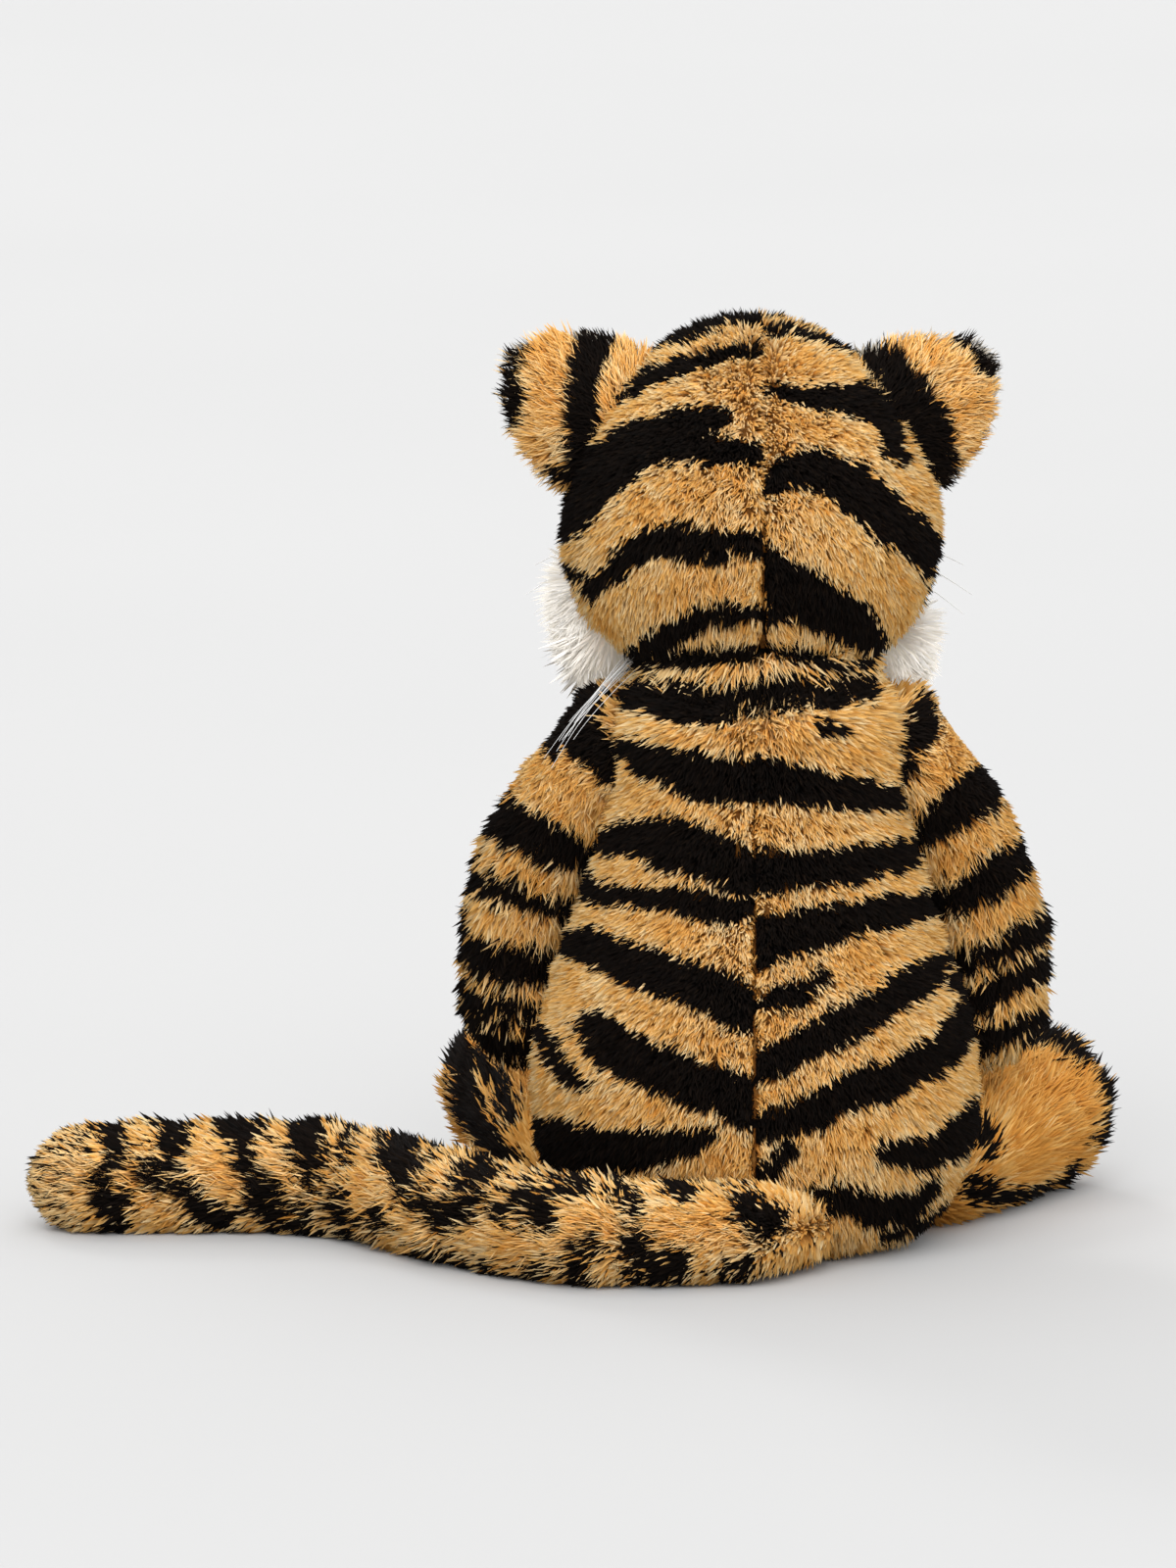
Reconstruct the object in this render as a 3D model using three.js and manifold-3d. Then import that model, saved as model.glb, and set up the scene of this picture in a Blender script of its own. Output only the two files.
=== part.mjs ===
// Seated plush tiger: sewn covers over stuffing, bean bags, safety eyes and a jointed tail.
// Millimetres, +Z up. The face looks along -Y, the toy's own left is +X, and the origin is on the floor
// in the middle of the seat.
import * as THREE from "three";
import { mergeVertices } from "three/addons/utils/BufferGeometryUtils.js";
import Module from "manifold-3d";

const wasm = await Module();
wasm.setup();

// Cloth and fit
const clothThickness = 2;
const fitGap = 0.3;
const sweepGap = 0.6;
const restDepth = 0.5;
const turningOpeningRadius = 4;
const cutOverrun = 400;

// Facets round the soft forms, and rings along them
const ballAround = 12;
const limbAround = 12;
const tailAround = 10;
const threadAround = 4;
const smallAround = 8;
const eyeAround = 10;
const eyeRings = 4;
const capRings = 3;
const armRings = 5;
const legRings = 4;
const tailRings = 4;
const threadRings = 5;
const muzzleFacets = [16, 8];
const noseFacets = [12, 6];
const ruffFacets = [12, 8];
const earFacets = [20, 6];
const curveSamples = 10;

// Body
const bodyHeight = 143;
const bodyHalfWidth = 54.3;
const bodyDepthShare = 0.86;
const bodyTopDepthShare = 0.14;
const bodyProfileShares = [
  [0, 0], [0.3, 0], [0.55, 0.004], [0.68, 0.02], [0.82, 0.06], [0.93, 0.12], [0.995, 0.205], [1, 0.295],
  [0.975, 0.38], [0.92, 0.46], [0.84, 0.55], [0.765, 0.635], [0.71, 0.72], [0.65, 0.81], [0.59, 0.91],
  [0.535, 1], [0.42, 1.07], [0.22, 1.12], [0, 1.14],
];
const bodyAround = 20;
const bodyRings = 13;
const bodyRimHeightShare = 0.958;
const seatPanelRadiusShare = 0.45;
const seatPanelDepthShare = 0.05;

// Bean bag in the seat
const beanBagHeight = 28;
const beanBagWall = 0.8;
const beanBagMouthRadius = 8;

// Neck
const neckRadiusShare = 0.5157;
const neckRadius = bodyHalfWidth * neckRadiusShare;
const neckAround = 24;
const neckPivotOffset = 2;
const neckBandHighShare = 0.36;

// Head
const headHalfWidth = 45.5;
const headHeight = 91;
const headDepthShare = 0.92;
const headForwardOffset = 4;
const headSideOffset = 1.5;
const headProfileShares = [
  [0, 0], [0.48, 0.03], [0.69, 0.082], [0.825, 0.15], [0.945, 0.26], [1, 0.395], [0.968, 0.527],
  [0.868, 0.666], [0.7, 0.8], [0.54, 0.89], [0.385, 0.945], [0.15, 0.99], [0, 1],
];
const headAround = 20;
const headRings = 12;
const faceSeamOffset = 18;

// Muzzle, nose and mouth
const muzzleRadii = [18.5, 16, 12.5];
const muzzleForwardShare = 0.86;
const muzzleHeightShare = 0.35;
const noseRadii = [6.2, 4, 4.4];
const noseRiseShare = 0.52;
const stitchRadius = 0.6;
const mouthStartShare = 0.08;
const mouthWidthShare = 0.42;
const mouthDropShare = 0.62;
const mouthForkShare = 0.34;
const mouthBowShare = 0.17;
const mouthEndShare = 0.5;
const almostForward = [0, 1, 0.01];

// Eyes
const eyeRadius = 5.2;
const eyeHeight = 3.4;
const eyeStemRadius = 1.3;
const eyeStemLength = 9;
const eyeSideShare = 0.38;
const eyeHeightShare = 0.58;
const washerRadius = 5;
const washerThickness = 1.2;

// Cheek ruffs and whiskers
const ruffRadii = [9, 10, 13];
const ruffSideShare = 0.9;
const ruffForwardShare = 0.44;
const ruffHeightShare = 0.175;
const whiskerRadius = 0.45;
const whiskerKnotRadius = 1.4;
const whiskerLength = 46;
const whiskerFanShares = [0.02, -0.18, -0.36];
const whiskerPlaces = [0, 0.35, 0.7, 1];
const whiskerKnotOnMuzzle = [0.86, 0.05];
const whiskerOutShare = 0.86;
const whiskerBackShare = 0.12;
const whiskerDroopShare = 0.12;

// Ears
const earHalfWidth = 18;
const earHeight = 26;
const earHalfThickness = 3.9;
const earRoundness = 2.5;
const earAngle = 56;
const earHeightShare = 0.72;
const earBehindShare = 0.03;
const earFold = 25;
const earSweepSteps = 4;

// Arms
const armLength = 66;
const armRadius = 15.8;
const armSwing = 70;
const armSweepSteps = 4;
const shoulderHeightShare = 0.867;
const shoulderOutShare = 0.3;
const shoulderForwardShare = 0.11;
const armPathShares = [
  [0, 0, 0], [0.13, 0.08, 0.24], [0.235, 0.17, 0.52], [0.28, 0.24, 0.78], [0.285, 0.26, 1],
];
const armRadiusShares = [0.96, 1, 1, 1, 0.94];
const armPelletShare = 0.8;

// Legs
const legLength = 52;
const leftFootRadius = 17.4;
const rightFootRadius = 19.6;
const legRadiusShares = [0.88, 0.94, 1];
const hipSideShare = 0.79;
const hipForwardShare = 0.56;
const leftLegAngle = 20;
const rightLegAngle = 30;
const leftToeHeight = 8.5;
const rightToeHeight = 1.5;
const legSplay = 12;
const legSweepSteps = 3;
const solePlaceShare = 0.62;
const footPelletShare = 0.35;

// Tail
const tailRadius = 12.6;
const tailRootOffset = 9;
const tailRootInShare = 0.4;
const tailLength = 178;
const tailPathShares = [
  [0, 0], [0.14, 0.035], [0.285, 0.025], [0.39, -0.05], [0.48, -0.15], [0.565, -0.26], [0.65, -0.335],
  [0.76, -0.36], [0.88, -0.36], [1, -0.36],
];
const tailBendShares = [0, 0.24, 0.46, 0.7, 1];
const tailSwings = [[0, 40], [-10, 30], [-15, 25], [-18, 18]];
const tailTipShare = 0.96;

// Looks
const furColour = 0xd9953f;
const creamColour = 0xf0e2c8;
const whiteColour = 0xf6f3ec;
const stuffingColour = 0xf2f2f2;
const beanBagColour = 0xd8d2c4;
const pelletColour = 0xc9d4dc;
const blackColour = 0x101010;
const pinkColour = 0xb9756e;
const furRoughness = 0.95;
const threadRoughness = 0.8;
const feltRoughness = 0.6;
const plasticRoughness = 0.4;
const glossRoughness = 0.1;

// Closed solid of a geometry: equal vertices merged, flat triangles dropped, faces turned outwards
function solidOf(geometry) {
  const bare = geometry.clone();
  bare.deleteAttribute("normal");
  bare.deleteAttribute("uv");
  const welded = mergeVertices(bare);
  const places = Float32Array.from(welded.attributes.position.array);
  const corners = welded.index.array;
  const faces = [];
  for (let i = 0; i < corners.length; i += 3) {
    const [a, b, c] = [corners[i], corners[i + 1], corners[i + 2]];
    if (a !== b && b !== c && c !== a) faces.push([a, b, c]);
  }
  const at = (n) => new THREE.Vector3().fromArray(places, 3 * n);
  const volume = faces.reduce((sum, [a, b, c]) => sum + at(a).dot(at(b).cross(at(c))), 0);
  const outward = volume < 0 ? faces.map(([a, b, c]) => [a, c, b]) : faces;
  const mesh = { numProp: 3, vertProperties: places, triVerts: Uint32Array.from(outward.flat()) };
  return new wasm.Manifold(new wasm.Mesh(mesh));
}

const without = (solid, cutters) => cutters.reduce((left, cutter) => left.subtract(cutter), solid);

// Half of space beyond a point, on the side that a direction points to, as a big box
function beyond(point, direction) {
  const box = new THREE.BoxGeometry(2 * cutOverrun, 2 * cutOverrun, cutOverrun);
  box.translate(0, 0, cutOverrun / 2);
  const way = new THREE.Vector3(...direction).normalize();
  const turn = new THREE.Quaternion().setFromUnitVectors(new THREE.Vector3(0, 0, 1), way);
  box.applyQuaternion(turn);
  box.translate(...point);
  return solidOf(box);
}

const belowFloor = beyond([0, 0, 0], [0, 0, -1]);

function ball(centre, radius, around = ballAround) {
  const geometry = new THREE.SphereGeometry(radius, around, around / 2);
  geometry.rotateX(Math.PI / 2);
  geometry.translate(...centre);
  return geometry;
}

// Round room for a ball: its flat faces, not only its corners, keep the fit gap
function ballRoom(centre, radius, around = ballAround) {
  return solidOf(ball(centre, (radius + fitGap) / Math.cos(Math.PI / around) ** 2, around));
}

function ellipsoid(centre, radii, grow, facets) {
  const geometry = new THREE.SphereGeometry(1, ...facets);
  geometry.rotateX(Math.PI / 2);
  geometry.scale(...radii.map((radius) => radius + grow));
  geometry.translate(...centre);
  return geometry;
}

// Round rod between two points
function rod(from, to, radius, around = ballAround) {
  const start = new THREE.Vector3(...from);
  const along = new THREE.Vector3(...to).sub(start);
  const geometry = new THREE.CylinderGeometry(radius, radius, along.length(), around);
  geometry.translate(0, along.length() / 2, 0);
  const up = new THREE.Vector3(0, 1, 0);
  geometry.applyQuaternion(new THREE.Quaternion().setFromUnitVectors(up, along.clone().normalize()));
  geometry.translate(...from);
  return geometry;
}

// Geometry turned about a line through a pivot, by degrees
function turned(geometry, pivot, axis, degrees) {
  const copy = geometry.clone();
  copy.translate(...pivot.map((value) => -value));
  const way = new THREE.Vector3(...axis).normalize();
  copy.applyQuaternion(new THREE.Quaternion().setFromAxisAngle(way, THREE.MathUtils.degToRad(degrees)));
  copy.translate(...pivot);
  return copy;
}

// What a still piece sweeps out, seen from a piece that turns about the pivot between two angles
function sweptBy(geometry, pivot, axis, low, high, steps) {
  const angles = Array.from({ length: steps + 1 }, (_, n) => low + ((high - low) * n) / steps);
  return angles.map((angle) => solidOf(turned(geometry, pivot, axis, -angle)));
}

// Half-width of a form at a height, from its profile curve
function halfWidthAt(curve, height) {
  const points = curve.getPoints(curve.points.length * curveSamples);
  const nearest = points.reduce((best, point) =>
    Math.abs(point.y - height) < Math.abs(best.y - height) ? point : best);
  return nearest.x;
}

const profileCurve = (shares, halfWidth, height, base) => new THREE.SplineCurve(
  shares.map(([out, up]) => new THREE.Vector2(out * halfWidth, up * height + base)),
);

const bodyCurve = profileCurve(bodyProfileShares, bodyHalfWidth, bodyHeight, -restDepth);
const bodyRim = bodyHeight * bodyRimHeightShare;
const bodyDepthAt = (height) => bodyDepthShare + bodyTopDepthShare * (height / bodyHeight) ** 2;

// Turned form whose section is an ellipse: the profile moves in along its normal by the inset
function profileForm(curve, rings, around, inset, depthAt) {
  const points = Array.from({ length: rings + 1 }, (_, n) => {
    const place = curve.getPointAt(n / rings);
    const way = curve.getTangentAt(n / rings);
    if (n === 0) return new THREE.Vector2(0, place.y + inset);
    if (n === rings) return new THREE.Vector2(0, place.y - inset);
    return new THREE.Vector2(place.x - inset * way.y, place.y + inset * way.x);
  });
  const geometry = new THREE.LatheGeometry(points, around);
  geometry.rotateX(Math.PI / 2);
  const places = geometry.attributes.position;
  for (let i = 0; i < places.count; i += 1) places.setY(i, places.getY(i) * depthAt(places.getZ(i)));
  return geometry;
}

const bodyForm = (inset) => profileForm(bodyCurve, bodyRings, bodyAround, inset, bodyDepthAt);

const neckPivot = [0, 0, bodyHeight - neckPivotOffset];
const headBase = neckPivot[2];
const headCurve = profileCurve(headProfileShares, headHalfWidth, headHeight, headBase);
const headHeightOf = (share) => headBase + share * headHeight;

function headForm(inset) {
  const geometry = profileForm(headCurve, headRings, headAround, inset, () => headDepthShare);
  geometry.translate(headSideOffset, -headForwardOffset, 0);
  return geometry;
}

// Point on the front of the head, at a distance aside of its middle and a height
function headFront(aside, height) {
  const halfWidth = halfWidthAt(headCurve, height);
  const forward = headForwardOffset + headDepthShare * Math.sqrt(halfWidth ** 2 - aside ** 2);
  return new THREE.Vector3(headSideOffset + aside, -forward, height);
}

// Soft tube with round ends along a smooth path; its radius is read from a second smooth list
function limbForm(points, radii, sideWay, inset, around, steps) {
  const path = new THREE.CatmullRomCurve3(points.map((point) => new THREE.Vector3(...point)));
  const last = radii.length - 1;
  const swell = new THREE.SplineCurve(radii.map((radius, n) => new THREE.Vector2(n / last, radius)));
  const rings = [];
  for (let n = 0; n < capRings; n += 1) {
    const angle = (n / capRings) * (Math.PI / 2);
    rings.push({ at: 0, back: Math.cos(angle), size: Math.sin(angle) });
  }
  for (let n = 0; n <= steps; n += 1) rings.push({ at: n / steps, back: 0, size: 1 });
  for (let n = capRings - 1; n >= 0; n -= 1) {
    const angle = (n / capRings) * (Math.PI / 2);
    rings.push({ at: 1, back: -Math.cos(angle), size: Math.sin(angle) });
  }
  const places = [];
  for (const ring of rings) {
    const radius = swell.getPoint(ring.at).y - inset;
    const way = path.getTangent(ring.at).normalize();
    const side = new THREE.Vector3(...sideWay).cross(way).normalize();
    const up = way.clone().cross(side);
    const centre = path.getPoint(ring.at).addScaledVector(way, -ring.back * radius);
    for (let k = 0; k < around; k += 1) {
      const angle = (2 * Math.PI * k) / around;
      const place = centre.clone();
      place.addScaledVector(up, Math.cos(angle) * ring.size * radius);
      place.addScaledVector(side, Math.sin(angle) * ring.size * radius);
      places.push(...place);
    }
  }
  const faces = [];
  for (let r = 0; r < rings.length - 1; r += 1) {
    for (let k = 0; k < around; k += 1) {
      const [a, b] = [r * around + k, r * around + ((k + 1) % around)];
      faces.push(a, b, b + around, a, b + around, a + around);
    }
  }
  const geometry = new THREE.BufferGeometry();
  geometry.setAttribute("position", new THREE.Float32BufferAttribute(places, 3));
  geometry.setIndex(faces);
  return geometry;
}

// Scene graph: one group for each moving body, at its pivot, with its meshes placed from there
const tiger = new THREE.Group();

function bodyGroup(parent, pivot) {
  const group = new THREE.Group();
  const from = parent.userData.pivot ?? [0, 0, 0];
  group.position.set(...pivot.map((value, n) => value - from[n]));
  group.userData.pivot = pivot;
  parent.add(group);
  return group;
}

function addPiece(group, name, solid, color, roughness = furRoughness) {
  const { vertProperties, triVerts } = solid.getMesh();
  const geometry = new THREE.BufferGeometry();
  geometry.setAttribute("position", new THREE.Float32BufferAttribute(Array.from(vertProperties), 3));
  geometry.setIndex(Array.from(triVerts));
  const pivot = group.userData.pivot ?? [0, 0, 0];
  geometry.translate(...pivot.map((value) => -value));
  geometry.computeVertexNormals();
  const mesh = new THREE.Mesh(geometry, new THREE.MeshStandardMaterial({ color, roughness, metalness: 0 }));
  mesh.name = name;
  group.add(mesh);
}

// Leg: a fat tube from the hip to the toes, with its underside on the floor
function legOf(side) {
  const angle = THREE.MathUtils.degToRad(side > 0 ? leftLegAngle : rightLegAngle);
  const lift = side > 0 ? leftToeHeight : rightToeHeight;
  const footRadius = side > 0 ? leftFootRadius : rightFootRadius;
  const radii = legRadiusShares.map((share) => share * footRadius);
  const hip = [side * bodyHalfWidth * hipSideShare, -bodyHalfWidth * bodyDepthShare * hipForwardShare];
  const way = [side * Math.sin(angle), -Math.cos(angle)];
  const points = radii.map((radius, n) => {
    const share = n / (radii.length - 1);
    const along = legLength * share;
    return [hip[0] + way[0] * along, hip[1] + way[1] * along, radius - restDepth + lift * share ** 2];
  });
  const form = (inset) => limbForm(points, radii, [0, 0, 1], inset, limbAround, legRings);
  return { hip: points[0], toe: points.at(-1), way: [...way, 0], footRadius, form };
}

const legs = [1, -1].map((side) => ({ side, ...legOf(side) }));

// Tail: a lying tube cut into lengths; each length starts as a ball that sits in the cup of the one before
const tailRootBehind = halfWidthAt(bodyCurve, tailRadius) * bodyDepthShare + tailRadius * tailRootInShare;
const tailCurve = new THREE.CatmullRomCurve3(
  tailPathShares.map(([along, back]) => new THREE.Vector3(
    tailLength * along - tailRootOffset, tailRootBehind + tailLength * back, tailRadius - restDepth)),
);

const tailBends = tailBendShares.map((share) => tailCurve.getPointAt(share).toArray());

function tailForm(n, inset) {
  const last = n === tailSwings.length - 1;
  const points = Array.from({ length: tailRings + 1 }, (_, k) => {
    const share = tailBendShares[n] + ((tailBendShares[n + 1] - tailBendShares[n]) * k) / tailRings;
    return tailCurve.getPointAt(share).toArray();
  });
  const radii = points.map((_, k) => tailRadius * (last ? 1 - (1 - tailTipShare) * (k / tailRings) : 1));
  return limbForm(points, radii, [0, 0, 1], inset, tailAround, tailRings);
}

// Root body: seat panel, two cover halves, stuffing and the bean bag
function buildBody() {
  const neckCup = ballRoom(neckPivot, neckRadius, neckAround);
  const aboveRim = beyond([0, 0, bodyRim], [0, 0, 1]);
  const tailCup = ballRoom(tailBends[0], tailRadius);
  const cuts = [neckCup, aboveRim, tailCup, belowFloor];
  const inner = solidOf(bodyForm(clothThickness + fitGap));
  const shell = without(solidOf(bodyForm(0)), [solidOf(bodyForm(clothThickness)), ...cuts]);
  const panelRadius = bodyHalfWidth * seatPanelRadiusShare;
  const panelTop = bodyHeight * seatPanelDepthShare;
  const [panelFrom, panelTo] = [[0, 0, -panelTop], [0, 0, panelTop]];
  const panelZone = (grow) => solidOf(rod(panelFrom, panelTo, panelRadius + grow, bodyAround));
  addPiece(tiger, "seat_panel", shell.intersect(panelZone(0)), furColour);
  for (const [name, side] of [["left", 1], ["right", -1]]) {
    const other = beyond([(side * fitGap) / 2, 0, 0], [-side, 0, 0]);
    addPiece(tiger, `body_cover_${name}`, without(shell, [panelZone(fitGap), other]), furColour);
  }
  const bagTop = beyond([0, 0, beanBagHeight], [0, 0, 1]);
  const bagZone = beyond([0, 0, beanBagHeight + fitGap], [0, 0, -1]);
  addPiece(tiger, "body_stuffing", without(inner, [...cuts, bagZone]), stuffingColour);
  const pelletTop = beyond([0, 0, beanBagHeight - beanBagWall - fitGap], [0, 0, 1]);
  const hollowTop = beyond([0, 0, beanBagHeight - beanBagWall], [0, 0, 1]);
  const hollow = solidOf(bodyForm(clothThickness + fitGap + beanBagWall)).subtract(hollowTop);
  const [mouthFrom, mouthTo] = [[0, 0, beanBagHeight / 2], [0, 0, beanBagHeight + beanBagWall]];
  const mouth = solidOf(rod(mouthFrom, mouthTo, beanBagMouthRadius));
  addPiece(tiger, "bean_bag", without(inner, [bagTop, hollow, mouth, tailCup]), beanBagColour);
  const pellets = solidOf(bodyForm(clothThickness + beanBagWall + 2 * fitGap));
  const tailRoom = ballRoom(tailBends[0], tailRadius + beanBagWall + fitGap);
  addPiece(tiger, "bean_bag_pellets", without(pellets, [pelletTop, tailRoom]), pelletColour);
}

// Neck: a firm ball in the cups of body and head, with a furry band round its middle
function buildNeck() {
  const group = bodyGroup(tiger, neckPivot);
  const whole = solidOf(ball(neckPivot, neckRadius, neckAround));
  const core = solidOf(ball(neckPivot, neckRadius - clothThickness, neckAround));
  const low = bodyRim + fitGap;
  const high = neckPivot[2] + neckRadius * neckBandHighShare;
  const outside = [beyond([0, 0, low], [0, 0, -1]), beyond([0, 0, high], [0, 0, 1])];
  addPiece(group, "neck_cover", without(whole, [core, ...outside]), furColour);
  const filling = solidOf(ball(neckPivot, neckRadius - clothThickness - fitGap, neckAround));
  addPiece(group, "neck_stuffing", filling, stuffingColour);
  return group;
}

const muzzleCentre = headFront(0, headHeightOf(muzzleHeightShare)).toArray();
muzzleCentre[1] *= muzzleForwardShare;

// Point on the muzzle's surface, moved out by a distance; across and up are shares of its size
function onMuzzle(across, up, out) {
  const unit = [across, -Math.sqrt(1 - across ** 2 - up ** 2), up];
  return unit.map((value, n) => muzzleCentre[n] + value * (muzzleRadii[n] + out));
}

// Eye place on the head and the way that the eye looks
function eyeOf(side) {
  const [aside, height] = [side * headHalfWidth * eyeSideShare, headHeightOf(eyeHeightShare)];
  const place = headFront(aside, height);
  const across = headFront(aside + eyeRadius, height).sub(headFront(aside - eyeRadius, height));
  const up = headFront(aside, height + eyeRadius).sub(headFront(aside, height - eyeRadius));
  return { place: place.toArray(), way: across.cross(up).normalize() };
}

// Turned piece on the line of an eye, from a profile of [radius, height above the cloth]
function eyeTurning(eye, profile) {
  const geometry = new THREE.LatheGeometry(profile.map(([out, up]) => new THREE.Vector2(out, up)), eyeAround);
  geometry.applyQuaternion(new THREE.Quaternion().setFromUnitVectors(new THREE.Vector3(0, 1, 0), eye.way));
  geometry.translate(...eye.place);
  return solidOf(geometry);
}

function eyeProfile() {
  const dome = Array.from({ length: eyeRings + 1 }, (_, n) => {
    const angle = (n / eyeRings) * (Math.PI / 2);
    return [eyeRadius * Math.cos(angle), fitGap + eyeHeight * Math.sin(angle)];
  });
  dome[eyeRings][0] = 0;
  return [[0, -eyeStemLength], [eyeStemRadius, -eyeStemLength], [eyeStemRadius, fitGap], ...dome];
}

// Head: cover halves, face panel, stuffing, muzzle, nose, mouth, eyes, ruffs and whiskers
function buildHead(parent) {
  const group = bodyGroup(parent, neckPivot);
  const cup = ballRoom(neckPivot, neckRadius, neckAround);
  const outer = solidOf(headForm(0));
  const eyes = [1, -1].map((side) => ({ side, ...eyeOf(side) }));
  const stemHoles = eyes.map((eye) => eyeTurning(eye, [
    [0, -eyeStemLength - fitGap], [eyeStemRadius + fitGap, -eyeStemLength - fitGap],
    [eyeStemRadius + fitGap, eyeRadius], [0, eyeRadius],
  ]));
  const washerTop = -clothThickness - fitGap - washerThickness;
  const washerHoles = eyes.map((eye) => eyeTurning(eye, [
    [0, washerTop - washerThickness - fitGap], [washerRadius + fitGap, washerTop - washerThickness - fitGap],
    [washerRadius + fitGap, eyeRadius], [0, eyeRadius],
  ]));
  const shell = without(outer, [solidOf(headForm(clothThickness)), cup]);
  const seamY = -faceSeamOffset;
  const inFront = beyond([0, seamY - fitGap / 2, 0], [0, -1, 0]);
  const behind = beyond([0, seamY + fitGap / 2, 0], [0, 1, 0]);
  addPiece(group, "face_panel", without(shell.intersect(inFront), stemHoles), furColour);
  for (const [name, side] of [["left", 1], ["right", -1]]) {
    const other = beyond([headSideOffset + (side * fitGap) / 2, 0, 0], [-side, 0, 0]);
    addPiece(group, `head_cover_${name}`, shell.intersect(behind).subtract(other), furColour);
  }
  const stuffing = solidOf(headForm(clothThickness + fitGap));
  addPiece(group, "head_stuffing", without(stuffing, [cup, ...stemHoles, ...washerHoles]), stuffingColour);

  const headRoom = solidOf(headForm(-fitGap));
  const muzzle = (grow) => solidOf(ellipsoid(muzzleCentre, muzzleRadii, grow, muzzleFacets));
  addPiece(group, "muzzle_cover", without(muzzle(0), [muzzle(-clothThickness), headRoom]), whiteColour);
  addPiece(group, "muzzle_stuffing", muzzle(-clothThickness - fitGap).subtract(headRoom), stuffingColour);
  const noseCentre = onMuzzle(0, noseRiseShare, 0);
  const nose = solidOf(ellipsoid(noseCentre, noseRadii, 0, noseFacets));
  addPiece(group, "nose", without(nose, [muzzle(fitGap), headRoom]), pinkColour, feltRoughness);
  addPiece(group, "mouth_stitching", buildMouth(noseCentre), blackColour, threadRoughness);

  for (const eye of eyes) {
    const name = eye.side > 0 ? "left" : "right";
    addPiece(group, `${name}_eye`, eyeTurning(eye, eyeProfile()), blackColour, glossRoughness);
    addPiece(group, `${name}_eye_washer`, eyeTurning(eye, [
      [eyeStemRadius + fitGap, washerTop - washerThickness], [washerRadius, washerTop - washerThickness],
      [washerRadius, washerTop], [eyeStemRadius + fitGap, washerTop],
      [eyeStemRadius + fitGap, washerTop - washerThickness],
    ]), stuffingColour, plasticRoughness);
    const ruffCentre = [
      headSideOffset + eye.side * headHalfWidth * ruffSideShare,
      -headForwardOffset - headHalfWidth * ruffForwardShare,
      headHeightOf(ruffHeightShare),
    ];
    const ruff = solidOf(ellipsoid(ruffCentre, ruffRadii, 0, ruffFacets));
    addPiece(group, `${name}_cheek_ruff`, without(ruff, [headRoom, muzzle(fitGap)]), whiteColour);
    addPiece(group, `${name}_whiskers`, buildWhiskers(eye.side), whiteColour, plasticRoughness);
  }
  return group;
}

// Mouth: a thread down from the nose that parts into two smiling curves, laid on the muzzle
function buildMouth(noseCentre) {
  const lay = fitGap + 2 * stitchRadius;
  const noseFoot = (noseCentre[2] - noseRadii[2] - 2 * fitGap - muzzleCentre[2]) / muzzleRadii[2];
  const strand = (shares) => {
    const places = shares.map(([across, up]) => new THREE.Vector3(...onMuzzle(across, up, lay)));
    const curve = new THREE.CatmullRomCurve3(places);
    const points = curve.getPoints(threadRings - 1).map((point) => point.toArray());
    const radii = points.map(() => stitchRadius);
    return solidOf(limbForm(points, radii, almostForward, 0, threadAround, threadRings));
  };
  const down = strand([[0, noseFoot - mouthStartShare], [0, 0], [0, -mouthForkShare]]);
  const smiles = [1, -1].map((side) => strand([
    [0, -mouthForkShare], [side * mouthBowShare, -mouthDropShare], [side * mouthWidthShare, -mouthEndShare],
  ]));
  return smiles.reduce((all, smile) => all.add(smile), down);
}

// Whiskers: fine drooping strands that leave one knot on the side of the muzzle
function buildWhiskers(side) {
  const [knotAcross, knotUp] = whiskerKnotOnMuzzle;
  const knotCentre = onMuzzle(side * knotAcross, knotUp, whiskerKnotRadius + fitGap);
  const strands = whiskerFanShares.map((fan, n) => {
    const points = whiskerPlaces.map((share) => [
      knotCentre[0] + side * whiskerLength * share * whiskerOutShare,
      knotCentre[1] + whiskerLength * share ** 2 * whiskerBackShare * (n + 1),
      knotCentre[2] + whiskerLength * share * (fan - whiskerDroopShare * share),
    ]);
    const radii = points.map(() => whiskerRadius);
    return solidOf(limbForm(points, radii, [0, 0, 1], 0, threadAround, threadRings));
  });
  const knot = solidOf(ball(knotCentre, whiskerKnotRadius, smallAround));
  return strands.reduce((all, strand) => all.add(strand), knot);
}

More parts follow.
